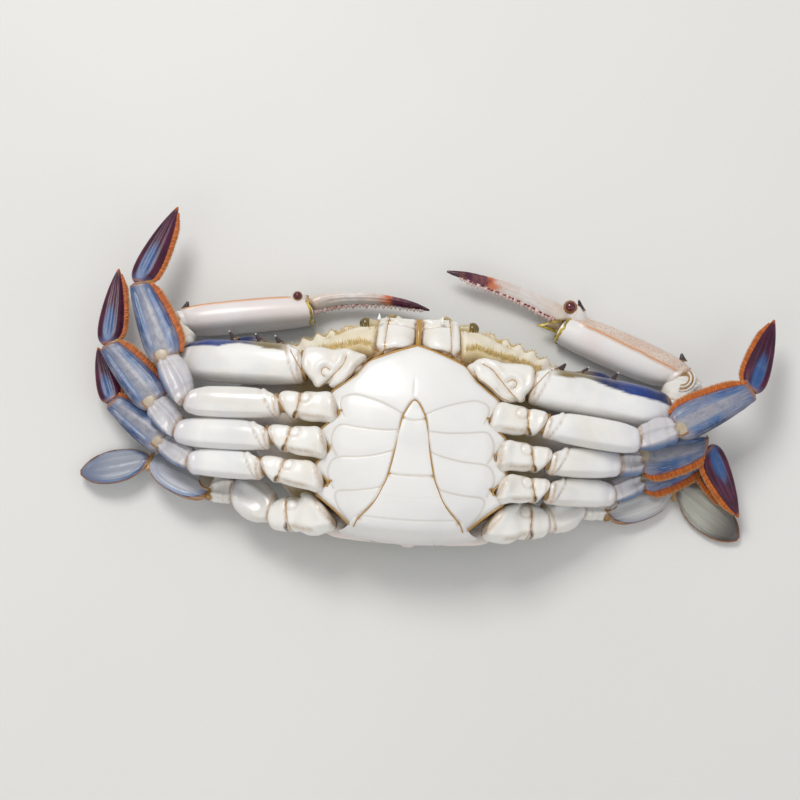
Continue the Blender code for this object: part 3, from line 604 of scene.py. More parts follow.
def make_blade_shell():
    """Dactyl: dark maroon with a lance-shaped blue field, lilac keels and a reddish edge."""
    shell = Finish("blade_shell")
    along, across, _ = shell.read("place")
    stain, keel, field = shell.read("marks")
    maroon = shell.cloud((0.045, 0.006, 0.024), (0.10, 0.012, 0.045), 150.0, 0.7)
    blue = shell.cloud((0.03, 0.10, 0.27), (0.09, 0.15, 0.30), 330.0, 0.6)
    bladed = shell.mix(field, maroon, blue, 0.92)
    rooted = shell.mix(shell.band(along, 0.10, 0.0), bladed, (0.10, 0.13, 0.30), 0.6)
    keels = shell.mix(keel, rooted, (0.26, 0.22, 0.36))
    edged = shell.mix(shell.band(across, -0.90, -1.0), keels, (0.36, 0.06, 0.02), 0.8)
    tipped = shell.mix(shell.band(along, 0.93, 1.0), edged, (0.50, 0.13, 0.02))
    return shell.dressed(shell.stained(tipped, stain, Stain=(0.46, 0.18, 0.04)), 0.34, 0.2, 700.0, 0.2,
                         specular=0.3)


def make_paddle_shell(name, middle, streak, rim, end):
    """Thin translucent plate of the swimming leg, darker round its edge."""
    shell = Finish(name)
    along, across, through = shell.read("place")
    stain, window, radius = shell.read("marks")
    plate = shell.ramp(radius, (0.0, middle), (0.62, middle), (0.90, rim), (0.965, (0.07, 0.05, 0.13)),
                       (0.99, (0.20, 0.09, 0.03)), (1.0, (0.30, 0.14, 0.04)))
    rays = shell.band(shell.fibres(along, across, through, 1.6, 1.6, 4.0), 0.45, 0.75)
    ended = shell.mix(shell.eased(along, 0.4, 0.95), shell.mix(rays, plate, streak, 0.6), end, 0.9)
    windowed = shell.mix(window, ended, (0.66, 0.60, 0.48))
    return shell.dressed(shell.stained(windowed, stain, Stain=(0.45, 0.20, 0.04)), 0.3, 0.6, 450.0, 0.3)


def make_palm_shell():
    """Great claw's palm: white below, pinkish and grainy above the orange ridge."""
    shell = Finish("palm_shell")
    through = shell.read("place")[2]
    stain, line, upper = shell.read("marks")
    bloom = shell.cloud((0.84, 0.81, 0.80), (0.78, 0.68, 0.66), 60.0, 0.5)
    sandy = shell.cloud((0.70, 0.55, 0.47), (0.76, 0.67, 0.59), 160.0, 0.7)
    zoned = shell.mix(upper, bloom, shell.cloud(sandy, (0.40, 0.24, 0.14), 1700.0, 0.45))
    back = shell.cloud((0.13, 0.13, 0.24), (0.56, 0.55, 0.52), 140.0, 0.85)
    lined = shell.mix(line, shell.mix(shell.eased(through, -0.55, -0.9), zoned, back), (0.66, 0.25, 0.04))
    return shell.dressed(shell.stained(lined, stain), 0.34, 0.4, 480.0)


def make_finger_shell():
    """Movable finger: pale at its root, orange blotches, then dark purple to the tip."""
    shell = Finish("finger_shell")
    along = shell.read("place")[0]
    moved = shell.times(shell.math("SUBTRACT", shell.noise(shell.place, 260.0, 3.0), 0.5), 0.22)
    tones = shell.ramp(shell.math("ADD", along, moved), (0.0, (0.70, 0.60, 0.52)), (0.40, (0.72, 0.68, 0.66)),
                       (0.58, (0.66, 0.56, 0.52)), (0.66, (0.58, 0.14, 0.04)), (0.71, (0.10, 0.012, 0.045)),
                       (1.0, (0.04, 0.006, 0.022)))
    flecked = shell.cloud(tones, (0.62, 0.26, 0.10), 420.0, 0.16)
    return shell.dressed(shell.stained(flecked, shell.read("marks")[0]), 0.24, 0.8, 600.0, 0.12)


def make_breast_shell():
    """Breastplate: almost pure white, with grey-tan painted shade in the grooves and a fainter painted shade
    in the hollows beside them.
    """
    shell = Finish("breast_shell")
    groove, edge, hollow = shell.read("marks")
    bloom = shell.cloud((0.86, 0.857, 0.845), (0.79, 0.788, 0.78), 55.0, 0.6)
    # Painted shade: grey-tan in the grooves, pale grey in the broad hollows beside them.
    groove_shaded = shell.mix(groove, shell.mix(hollow, bloom, (0.74, 0.74, 0.73), 0.2), (0.56, 0.50, 0.40), 0.6)
    return shell.dressed(shell.stained(groove_shaded, edge, Stain=(0.40, 0.21, 0.04)), 0.34, 0.35, 380.0, 0.12, 0.3)


def make_back_shell():
    """Back shell: olive-brown with blue-grey and cream blotches; underneath cream, edge fuzzy."""
    shell = Finish("back_shell")
    under, toothed, far = shell.read("marks")
    golden = shell.read("tones")[0]
    olive = shell.cloud((0.10, 0.115, 0.075), (0.16, 0.22, 0.28), 45.0, 0.8)
    net = shell.noise(shell.place, 95.0, 3.5, Distortion=0.5)
    veins = shell.ramp(net, (0.46, 0.0), (0.56, 1.0), (0.64, 1.0), (0.74, 0.0))
    veined = shell.mix(veins, olive, (0.46, 0.46, 0.36), 0.6)
    cream = shell.cloud((0.88, 0.82, 0.67), (0.80, 0.69, 0.46), 120.0, 0.6)
    white = shell.mix(far, shell.mix(golden, cream, (0.62, 0.43, 0.14), 0.65), (0.82, 0.74, 0.70))
    edged = shell.mix(toothed, shell.mix(under, veined, white), (0.52, 0.36, 0.16), 0.32)
    return shell.dressed(edged, 0.42, 0.4, 900.0, 0.28, 0.7)


def make_plain(name, colour, cloud, roughness, film, grain=500.0, bump=0.2, scale=200.0, amount=0.5):
    """A small piece's finish: one colour clouded by another."""
    shell = Finish(name)
    return shell.dressed(shell.cloud(colour, cloud, scale, amount), roughness, film, grain, bump)


def make_spine_shell():
    """Spines: brown-black with a pale point."""
    shell = Finish("spine_shell")
    tones = shell.ramp(shell.read("tuft")[0], (0.0, (0.34, 0.22, 0.10)), (0.2, (0.05, 0.025, 0.02)),
                       (0.82, (0.035, 0.02, 0.035)), (0.97, (0.75, 0.72, 0.66)))
    return shell.dressed(tones, 0.25, 0.7, bump=0.1)


def make_hair(name, root, middle, tip):
    """Setae: colour from root to tip, each tuft a little lighter or darker."""
    shell = Finish(name)
    reach, tone, _ = shell.read("tuft")
    tones = shell.ramp(reach, (0.0, root), (0.4, middle), (0.7, middle), (1.0, tip))
    spread = shell.add("MapRange", {"Value": tone, "To Min": 0.62, "To Max": 1.25})[0]
    shell.put(shell.shader["Base Color"], shell.add("HueSaturation", {"Color": tones, "Value": spread})[0])
    shell.shader["Roughness"].default_value = 0.55
    shell.shader["Sheen Weight"].default_value = 0.2
    return shell.material


LOOKS = {
    "porcelain": make_porcelain(),
    # The joint finish's near-black brown is painted shade in the bases' slits, over brown joint skin.
    "joint": make_joint_shell("joint_shell", (0.89, 0.875, 0.84), (0.80, 0.75, 0.66), (0.10, 0.04, 0.015)),
    "knuckle": make_joint_shell("knuckle_shell", (0.62, 0.61, 0.64), (0.48, 0.47, 0.52),
                                (0.07, 0.15, 0.32), 0.34),
    "claw_knuckle": make_joint_shell("claw_knuckle_shell", (0.82, 0.80, 0.77), (0.68, 0.60, 0.50),
                                     (0.50, 0.36, 0.26), 0.28),
    "blue": make_blue_shell(),
    "blade": make_blade_shell(),
    "paddle_right": make_paddle_shell("paddle_shell_blue", (0.31, 0.34, 0.41), (0.46, 0.48, 0.53),
                                      (0.08, 0.14, 0.29), (0.15, 0.18, 0.28)),
    "paddle_left": make_paddle_shell("paddle_shell_olive", (0.38, 0.38, 0.33), (0.54, 0.54, 0.48),
                                     (0.20, 0.20, 0.17), (0.045, 0.035, 0.035)),
    "plate_right": make_paddle_shell("plate_shell_blue", (0.56, 0.57, 0.62), (0.68, 0.68, 0.71),
                                     (0.20, 0.28, 0.44), (0.44, 0.46, 0.54)),
    "plate_left": make_paddle_shell("plate_shell_grey", (0.52, 0.52, 0.52), (0.66, 0.65, 0.63),
                                    (0.32, 0.32, 0.36), (0.46, 0.45, 0.44)),
    "palm": make_palm_shell(),
    "finger": make_finger_shell(),
    "breast": make_breast_shell(),
    "back": make_back_shell(),
    "claw_palm": make_plain("hinge_lobe_shell", (0.80, 0.76, 0.74), (0.72, 0.56, 0.46), 0.34, 0.4),
    "seam": make_plain("seam_membrane", (0.46, 0.24, 0.035), (0.60, 0.38, 0.12), 0.3, 0.6),
    "membrane": make_plain("joint_membrane", TAN, (0.30, 0.14, 0.03), 0.3, 0.7, bump=0.4),
    "knob": make_plain("hinge_knob", (0.07, 0.006, 0.012), (0.16, 0.01, 0.015), 0.12, 1.0, bump=0.05),
    "button": make_plain("condyle_button", (0.80, 0.74, 0.60), (0.60, 0.44, 0.22), 0.25, 0.7),
    "patch": make_plain("joint_patch", (0.52, 0.44, 0.33), (0.40, 0.27, 0.14), 0.36, 0.3, bump=0.5),
    "hook": make_plain("joint_hook", (0.34, 0.13, 0.03), (0.16, 0.06, 0.02), 0.25, 0.8),
    "stump": make_plain("torn_rim", (0.62, 0.47, 0.03), (0.18, 0.10, 0.02), 0.25, 0.8, scale=420.0,
                        amount=0.85),
    "stump_floor": make_plain("stump_floor", (0.22, 0.14, 0.06), (0.45, 0.36, 0.20), 0.4, 0.5),
    "tooth": make_plain("finger_teeth", (0.22, 0.012, 0.03), (0.40, 0.10, 0.08), 0.2, 0.9),
    "finger_tooth": make_plain("finger_tooth_tips", (0.74, 0.58, 0.54), (0.46, 0.14, 0.10), 0.2, 0.9,
                               scale=420.0, amount=0.5),
    "eye": make_plain("eye_surface", (0.17, 0.12, 0.03), (0.04, 0.025, 0.01), 0.08, 1.0,
                      grain=2400.0, bump=0.12),
    "stalk": make_plain("eye_stalk", (0.60, 0.52, 0.34), (0.34, 0.22, 0.10), 0.3, 0.6),
    "feeler": make_plain("feeler_shell", (0.42, 0.32, 0.14), (0.60, 0.52, 0.32), 0.4, 0.4),
    "spine": make_spine_shell(),
    "orange_hair": make_hair("orange_setae", (0.24, 0.035, 0.004), (0.56, 0.13, 0.006),
                             (0.66, 0.36, 0.15)),
    "brown_hair": make_hair("brown_setae", (0.16, 0.05, 0.02), (0.30, 0.12, 0.03), (0.42, 0.25, 0.13)),
    "yellow_hair": make_hair("yellow_setae", (0.40, 0.21, 0.03), (0.68, 0.49, 0.17), (0.84, 0.72, 0.44)),
}


# ------------------------------------------------------------ tufts and spines

# One tuft is a bent blade: its corners' reach to the tip, its faces, and its patch of the flat sheet
BLADE_REACH = [0, 0, 0, 0.55, 0.55, 0.55, 1.0]
BLADE_FACES = [(0, 1, 4, 3), (1, 2, 5, 4), (2, 0, 3, 5), (3, 4, 6), (4, 5, 6), (5, 3, 6), (2, 1, 0)]
BLADE_PATCH = 0.0015 * np.array([(-1, -1), (1, -1), (0, -0.6), (-0.7, 0.3), (0.7, 0.3), (0, 0.5), (0, 1)])


def grow(name, tufts, front, look, curl=0.18):
    """Join many flat tapering tufts into one mesh.

    Each tuft is its root, the way it grows, its length and width in millimetres and its root's
    place on the flattened skin; front is where the tufts' flat sides face.
    """
    roots, ways, lengths, widths, sheet_places = (np.array(column, float) for column in zip(*tufts))
    ways = unit(ways)
    spreads = unit(np.cross(ways, front))
    thick = unit(np.cross(ways, spreads))
    lengths, widths = lengths[:, None] * MM, widths[:, None] * MM
    middle = roots + ways * lengths * 0.55 + thick * lengths * curl * 0.4
    corners = [roots - spreads * widths / 2, roots + spreads * widths / 2, roots + thick * widths * 0.4,
               middle - spreads * widths * 0.36, middle + spreads * widths * 0.36,
               middle + thick * widths * 0.3, roots + ways * lengths + thick * lengths * curl]
    count, size = len(roots), len(corners)
    mesh = bpy.data.meshes.new(name)
    faces = [tuple(size * k + corner for corner in face) for k in range(count) for face in BLADE_FACES]
    mesh.from_pydata(np.stack(corners, axis=1).reshape(-1, 3).tolist(), [], faces)
    paint(mesh, "tuft", np.tile(BLADE_REACH, count), np.repeat(rng.random(count), size))
    flat = np.repeat(sheet_places, size, axis=0) + np.tile(BLADE_PATCH, (count, 1))
    loops = np.empty(len(mesh.loops), int)
    mesh.loops.foreach_get("vertex_index", loops)
    sheet = mesh.uv_layers.new(name="OFBake")
    sheet.data.foreach_set("uv", flat[loops].astype(np.float32).ravel())
    return fitted(linked(name, mesh), look, smooth=False)


def thorn(name, root, way, length, radius, look="spine"):
    """One spine: a cone drawn out to its point, slightly narrowed along its middle."""
    root, way = Vector(root), Vector(way).normalized()
    bpy.ops.object.select_all(action="DESELECT")
    bpy.ops.mesh.primitive_cone_add(vertices=14, radius1=radius * MM, radius2=radius * 0.12 * MM,
                                    depth=length * MM, location=root + way * length * MM / 2,
                                    rotation=way.to_track_quat("Z", "Y").to_euler())
    piece = started(name)
    sliced(piece, [root + way * length * MM * share for share in THORN_RINGS], way)
    points = read(piece.data)
    reach = (points - np.array(root)) @ np.array(way) / (length * MM)
    axis = np.array(root) + np.outer(reach * length * MM, np.array(way))
    swell = 1.0 - 0.12 * np.sin(np.pi * np.clip(reach, 0, 1))
    write(piece.data, axis + (points - axis) * swell[:, None])
    paint(piece.data, "tuft", np.clip(reach, 0, 1))
    return fitted(piece, look)


def draw_cord(name, line, radius, look="seam", rounding=1):
    """A thin bead along a line of body places."""
    curve = bpy.data.curves.new(name, "CURVE")
    curve.dimensions = "3D"
    curve.bevel_depth = radius * MM
    curve.bevel_resolution = rounding
    curve.use_fill_caps = True
    path = curve.splines.new("POLY")
    path.points.add(len(line) - 1)
    for point, (x, y, z) in zip(path.points, line):
        point.co = (*spot(x, y, max(z, radius + CORD_GAP)), 1.0)
    select_only(linked(name, curve))
    bpy.ops.object.convert(target="MESH")
    return fitted(bpy.context.active_object, look)


# ------------------------------------------------------------ breastplate and tail flap

def flap_half_width(y):
    """Half width of the tail flap."""
    edge = np.array(smooth_path(FLAP_EDGE, 4))
    return np.interp(y, edge[:, 0], edge[:, 1], left=0.0, right=0.0)


def flap_outline():
    """The tail flap's edge from its left rear corner round the tip to its right rear corner."""
    half = [(x, y) for y, x in smooth_path(FLAP_EDGE, 4)]
    return [np.array(p) for p in half + [(-x, y) for x, y in half[-2::-1]]]


def belly_height(x, y):
    """Height of the belly surface."""
    line = np.array(smooth_path(BELLY_LINE, 8))[::-1]
    return np.interp(y, line[:, 0], line[:, 1]) - BELLY_CROWN * np.asarray(x) ** 2


def on_belly(line, drop):
    """A line of (x, y) places laid a little under the belly surface."""
    return [(x, y, float(belly_height(x, y)) - drop) for x, y in line]


def plate_reach(angles):
    """Distance of the breastplate's edge from its middle, for each angle."""
    half = np.array(PLATE_EDGE) - PLATE_MIDDLE
    edge = np.concatenate([half, half[-2:0:-1] * (-1, 1)])
    edge = np.array(smooth_path(list(map(tuple, edge)) + [tuple(edge[0])], 4)[:-1])
    turned = np.arctan2(edge[:, 1], edge[:, 0])
    order = np.argsort(turned)
    return np.interp(angles, turned[order], np.linalg.norm(edge[order], axis=1), period=2 * np.pi)


def build_breastplate():
    """Fine mesh drawn out to the plate's edge, raised to the belly, with grooves and a flap bed."""
    rows = PLATE_ROWS + WALL_ROWS
    bpy.ops.object.select_all(action="DESELECT")
    bpy.ops.mesh.primitive_grid_add(x_subdivisions=PLATE_TURNS, y_subdivisions=rows, size=2.0)
    piece = started("breastplate")
    mesh = piece.data
    flat = read(mesh) + 1
    angles, row = flat[:, 0] * np.pi, flat[:, 1] / 2 * rows
    gauge = np.clip(row / PLATE_ROWS, 0.0, 1.0)
    down = np.clip((row - PLATE_ROWS) / WALL_ROWS, 0.0, 1.0)
    reach = plate_reach(angles) * gauge
    x = PLATE_MIDDLE[0] + np.cos(angles) * reach
    y = PLATE_MIDDLE[1] + np.sin(angles) * reach
    edge_drop = EDGE_DROP * np.clip((gauge - 0.93) / 0.07, 0, 1) ** 2.4
    lobe_drop = LOBE_DROP * ease(np.hypot(x / 27.0, (y + 5.0) / 33.0), 0.86, 1.12)
    places = np.stack([np.abs(x), y], axis=1)
    groove, hollow, spots = np.zeros((3, len(x)))
    for path in SUTURES:
        gap = distance_to_path(places, smooth_path(path, 5))
        groove = np.maximum(groove, ridge(gap, 0.0, SUTURE_WIDTH))
        hollow = np.maximum(hollow, ridge(gap, 0.0, LOBE_WIDTH))
    for condyle in CONDYLES:
        dx, dy = (places - condyle).T
        along, aside = dx * 0.8 + dy * 0.6, dy * 0.8 - dx * 0.6
        spots = np.maximum(spots, ridge(along, 0.0, 0.55) * ridge(aside, 0.0, 1.05))
    dimple = 0.5 * ridge(x, -0.4, 0.5) * ridge(y, 12.0, 2.6)
    edge_gap = distance_to_path(np.stack([x, y], axis=1), flap_outline())
    inside = np.abs(x) < flap_half_width(y)
    bed = inside * FLAP_BED * ease(edge_gap, 0.3, 1.4) + 0.5 * ridge(edge_gap, 0.0, 0.55)
    top = belly_height(x, y) - edge_drop - lobe_drop
    top -= SUTURE_DEPTH * groove + LOBE_DEPTH * hollow + 0.25 * dimple + bed + CONDYLE_DEPTH * spots
    top += BELLY_NOISE * wander(np.stack([x, y, x * 0], axis=1) * MM, 11.0, 2)
    z = top + (plate_low.z / MM + 2.0 - top) * down
    write(mesh, np.stack([x, y, z], axis=1) * MM + np.array(MIDDLE))
    stain = 0.75 * ease(gauge, 0.982, 1.0) + 0.55 * ridge(edge_gap, 0.0, 0.5) + 1.2 * spots
    # Marks: grooves and the midline dimple (painted shade), amber stain along the edges and at the hinge
    # points, and the hollows beside the grooves (painted soft shade).
    paint(mesh, "marks", np.clip(groove + 0.7 * dimple, 0, 1), np.clip(stain, 0, 1), hollow)
    edit(piece)
    bpy.ops.mesh.remove_doubles(threshold=WELD * 5)
    leave_edit()
    for face in mesh.polygons:
        if abs(face.normal.z) < WALL_SLOPE:
            face.material_index = 1
    finished(piece, "thorax", "shell_belly", "breast", "membrane")
    turns = np.linspace(0, 2 * np.pi, 420)
    rim = [(math.cos(turn) * r, math.sin(turn) * r + PLATE_MIDDLE[1])
           for turn, r in zip(turns, plate_reach(turns) * 0.994)]
    draw_cord("plate_seam", on_belly(rim, 1.5), 0.24)
    return piece


def build_flap():
    """Tail flap with its joint lines, set in its bed by a thin amber seam."""
    piece = skin_of("abdomen", "tail_flap", 4)
    mesh = piece.data
    for joint, bow in FLAP_BULGES:
        _, y, z = body(mesh).T
        sculpt(mesh, 0.18 * bow * ridge(y, joint - 5.0, 4.0) * (z > 30.0))
    points = body(mesh)
    x, y, z = points.T
    groove = np.zeros(len(points))
    for joint, bow, strength in FLAP_JOINTS:
        line = joint + bow * (x / np.maximum(flap_half_width(joint), 1.0)) ** 2
        groove = np.maximum(groove, strength * ridge(y, line, 0.3) * (z > 24.0))
    sculpt(mesh, -0.25 * groove)
    corners = sum(ridge(np.hypot(np.abs(x) - half, y - joint), 0.0, 0.8) for half, joint in FLAP_CORNERS)
    joints = ridge(y, -17.0 + 0.3 * (x / 7.4) ** 2, 0.28) * (0.5 + 0.5 * wander(points * MM, 1.1, 8))
    stain = 0.07 * ease(y, -33.4, -35.0) + corners + 0.5 * joints
    # The joint grooves get the breast finish's grey-tan painted shade.
    paint(mesh, "marks", groove, np.clip(stain, 0, 1), 0.0)
    finished(piece, "abdomen", "shell_belly", "breast")
    draw_cord("flap_seam", on_belly(flap_outline(), 0.16), 0.22)


def build_hinge_hooks():
    """Small amber hooks where the limbs hinge on the breastplate."""
    for side_name, side in SIDES:
        for count, (cx, cy) in enumerate(CONDYLES):
            struck = [felt(breastplate, side * (cx + dx), cy + dy) for dx, dy in HINGE_HOOK]
            line = [(where - MIDDLE) / MM for hit, where, _ in struck if hit]
            if len(line) > 2:
                draw_cord(f"hinge_hook_{side_name}_{count}", line, 0.34)


breastplate = build_breastplate()
build_flap()
build_hinge_hooks()


# ------------------------------------------------------------ limbs

def chain_of(side, number):
    """Names of a limb's solids from the body outwards."""
    if number == 1:
        return [f"claw_{side}_{part}" for part in ("base", "merus", "carpus", "palm", "finger")]
    last = "paddle" if number == 5 else "dactyl"
    return [f"leg{number}_{side}_{part}" for part in ("base", "merus", "carpus", "propodus", last)]


def solid(node):
    """The mesh of one solid."""
    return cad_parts[node].data


def meeting(first, second):
    """Middle of the place where two neighbouring solids face each other."""
    a, b = read(solid(first)), read(solid(second))
    tree = KDTree(len(b))
    for k, point in enumerate(b):
        tree.insert(point, k)
    tree.balance()
    pairs = sorted((tree.find(p)[2], tuple(p), tuple(tree.find(p)[0])) for p in a)
    near = [pair for pair in pairs if pair[0] < pairs[0][0] + 1.2 * MM]
    return Vector(np.mean([np.add(p, q) / 2 for _, p, q in near], axis=0))


def far_point(node, away_from):
    """The solid's corner that is farthest from a point."""
    points = read(solid(node))
    return Vector(points[np.argmax(np.linalg.norm(points - np.array(away_from), axis=1))])


class Segment:
    """Axes, sizes and end planes of one limb segment, measured on its solid."""

    def __init__(self, node, start, end, lead, side, number):
        self.node, self.start, self.end = node, Vector(start), Vector(end)
        self.part = node.split("_")[-1]
        self.side, self.number = side, number
        self.length = (self.end - self.start).length / MM
        self.along = (self.end - self.start).normalized()
        if self.part in ("propodus", "dactyl", "paddle"):
            self.across = self.widest(Vector(lead))
        else:
            self.across = (lead - self.along * self.along.dot(lead)).normalized()
        self.through = self.along.cross(self.across)
        if self.through.z < 0:
            self.through = -self.through
        self.axes = [np.array(axis) for axis in (self.along, self.across, self.through)]
        self.caps = [self.end_plane(-1, 0.0), self.end_plane(1, 1.0)]

    def widest(self, lead):
        """The way in which a flat segment is widest, on the side that lead points to."""
        level = UP.cross(self.along).normalized()
        other = self.along.cross(level)
        points = read(solid(self.node)) - np.array(self.start)
        reach = points @ np.array(self.along) / (self.length * MM)
        core = (reach > 0.15) & (reach < 0.85)
        core = core if core.sum() > 6 else np.ones(len(points), bool)
        flat = np.stack([points @ np.array(level), points @ np.array(other)], axis=1)[core]
        wide = np.linalg.eigh(np.cov((flat - flat.mean(0)).T))[1][:, 1]
        across = (level * wide[0] + other * wide[1]).normalized()
        return -across if across.dot(lead) < 0 else across

    def end_plane(self, way, share):
        """Middle and outward normal of the flat face that ends the solid."""
        total, middle, area = Vector(), Vector(), 0.0
        for face in solid(self.node).polygons:
            place = (face.center - self.start).dot(self.along) / (self.length * MM)
            if face.normal.dot(self.along) * way > 0.6 and abs(place - share) < 0.22:
                total += face.normal * face.area
                middle += face.center * face.area
                area += face.area
        if area == 0.0:
            return self.start.lerp(self.end, share), self.along * way
        return middle / area, total.normalized()

    def place(self, points):
        """Each point's share along, and its offsets across and through in millimetres."""
        offset = (np.asarray(points) - np.array(self.start)) / MM
        a, c, t = (offset @ axis for axis in self.axes)
        return a / self.length, c, t

    def share(self, points):
        """Places as shares of the local size: along 0 to 1, across and through -1 to 1."""
        a, c, t = self.place(points)
        samples = np.linspace(a.min(), a.max(), 40)
        window = (a.max() - a.min()) * 0.03
        near = [np.abs(a - sample) < window for sample in samples]
        shares = []
        for value in (c, t):
            high = np.interp(a, samples, [value[n].max() if n.any() else value.max() for n in near])
            low = np.interp(a, samples, [value[n].min() if n.any() else value.min() for n in near])
            shares.append(np.clip((value - (high + low) / 2) / np.maximum((high - low) / 2, 0.2), -1.1, 1.1))
        return a, *shares

    def half_sizes(self, share):
        """Half width and half thickness of the solid near one share of its length."""
        a, c, t = self.place(read(solid(self.node)))
        near = np.abs(a - share) < 0.12
        near = near if near.sum() > 4 else np.ones(len(a), bool)
        return (c[near].max() - c[near].min()) / 2, (t[near].max() - t[near].min()) / 2

    def at(self, a, c=0.0, t=0.0):
        """Point at a share along and offsets in millimetres."""
        return self.start + self.along * a * self.length * MM + (self.across * c + self.through * t) * MM

    def cover(self, piece):
        """Take the piece that stands for this segment, and its corners' depths in from both ends."""
        self.piece = piece
        self.points = read(piece.data)
        self.near, self.far = (-(self.points - np.array(middle)) @ np.array(normal) / MM
                               for middle, normal in self.caps)
        return self.share(self.points)

    def uneven(self, scale, seed):
        """Soft noise over the segment's corners."""
        return wander(self.points, scale, seed)


# Each shape function gives the corners' heights in millimetres and their three marks, from their
# shares along, across and through the segment. Widths and places of bumps are such shares too,
# or millimetres where they are measured in from an end.

def end_marks(segment, first=0.7, last=0.7):
    """Stain, snug widening and groove that follow both end faces."""
    near, far = segment.near, segment.far
    stain = 0.7 * ridge(near, first * 0.3, 0.4) + 0.7 * ridge(far, last * 0.3, 0.4)
    snug = ridge(near, -0.2, 1.5) + ridge(far, -0.2, 1.5)
    groove = ridge(near, first + 1.9, 0.5) + ridge(far, last + 2.1, 0.5)
    return stain, snug, groove


def shape_merus(segment, a, c, t):
    """Long smooth segment with a flared collar at its outer end and a soft keel."""
    number = segment.number
    stain, snug, groove = end_marks(segment)
    keel = ridge(c, 0.12, 0.42) * ease(t, 0.2, 0.8) * stretch(a, 0.1, 0.3, 0.7, 0.9)
    lower = ridge(c, -0.62, 0.16) * ease(t, -0.2, 0.3) * stretch(a, 0.06, 0.2, 0.8, 0.95)
    lip = ease(t, 0.1, 0.6) * ridge(segment.far, 1.6, 0.8) * ridge(c, -0.2, 0.6)
    slanted = segment.near - 2.9 - 2.2 * c
    leg = ease(t, -0.3, 0.2) * (number < 5)
    slant = ridge(slanted, 0.0, 0.34) * leg
    height = (0.62 * snug - 0.06 * groove + 0.22 * keel + 0.3 * lower + 0.3 * lip - 0.3 * slant
              + 0.35 * ridge(slanted, -1.0, 0.8) * leg + 0.10 * segment.uneven(6.0, number))
    strip = 0.0
    if number == 5:
        rows = ridges(c, (0.6, 0.5, 0.15), (0.5, -0.45, 0.15), (-0.5, 0.05, 0.2))
        height += rows * ease(t, 0.0, 0.5) * stretch(a, 0.1, 0.3, 0.75, 0.95)
    if number == 1:
        edge = 0.5 if segment.side < 0 else 0.52 - 0.28 * ease(a, 0.3, 0.55)
        edge = edge + 0.05 * segment.uneven(3.0, 77)
        strip = ease(c, edge, edge + 0.09) * ease(a, 0.08, 0.2)
    return height, stain + 0.5 * slant, 0.0, strip


def shape_carpus(segment, a, c, t):
    """Short knuckle with ridges towards its outer joint."""
    stain, snug, groove = end_marks(segment)
    keel = ridge(c, 0.5 - 0.3 * a, 0.13) + ridge(c, -0.6 + 0.25 * a, 0.14)
    height = 0.5 * snug - 0.18 * groove + (0.7 * keel - 0.5 * ridge(c, 0.0, 0.28)) * ease(t, 0.1, 0.6)
    outward = 1.0 if segment.across.x * segment.side > 0 else -1.0
    edge = (segment.number != 5) * ease(c * outward, 0.42, 0.95)
    return height + 0.22 * segment.uneven(2.6, segment.number + 4), stain + 0.15 * groove, 0.0, edge


# Amber seams over the great claws' bases, from the breastplate's notch outwards: (x, y)
BASE_SEAMS = {
    "left": [[(18.8, 19.4), (20.4, 16.9), (22.4, 15.6), (24.6, 14.0), (28.7, 10.9), (34.3, 9.8)],
             [(21.6, 22.2), (24.6, 20.4), (26.3, 18.6), (28.4, 16.0), (31.0, 13.2), (34.0, 10.4)],
             [(30.0, 16.2), (31.4, 17.2), (32.8, 16.6), (32.9, 15.2), (31.9, 14.3)],
             [(43.6, 21.0), (40.5, 17.3), (37.4, 13.5), (34.3, 9.8)]],
    "right": [[(-17.8, 20.4), (-19.9, 18.4), (-21.0, 16.6), (-22.8, 14.8), (-25.6, 12.4), (-28.1, 11.0),
               (-32.4, 10.8)],
              [(-23.4, 22.2), (-24.2, 19.4), (-26.2, 16.8), (-28.8, 14.2), (-31.6, 11.8)],
              [(-28.6, 17.2), (-30.0, 18.0), (-31.2, 17.2), (-31.2, 15.8), (-30.2, 15.0)],
              [(-42.2, 23.6), (-41.0, 21.4), (-38.4, 17.4), (-35.9, 14.4), (-32.4, 10.8)]],
}


def shape_claw_base(segment, a, c, t):
    """Great claw's coxa and ischium: rounded plates that meet in winding grooves."""
    stain, snug, _ = end_marks(segment, 0.5, 0.5)
    places = ((segment.points - np.array(MIDDLE)) / MM)[:, :2]
    belly = ease(t, 0.0, 0.5)
    height = 0.45 * snug + 0.8 * ridge(segment.near, 0.6, 2.2)
    grooves = np.zeros(len(a))
    for path in BASE_SEAMS["left" if segment.side > 0 else "right"]:
        gap = distance_to_path(places, smooth_path(path, 5))
        height += ridges(gap, (0.7, 1.7, 1.0), (-0.7, 0.0, 0.6)) * belly
        grooves = np.maximum(grooves, ridge(gap, 0.0, 0.5) * belly)
    return height + 0.14 * segment.uneven(3.0, 19), 0.5 * stain + 0.3 * grooves, 0.0, 0.0


WAIST = 0.62                    # where the seam between coxa and ischium lies along a leg's base


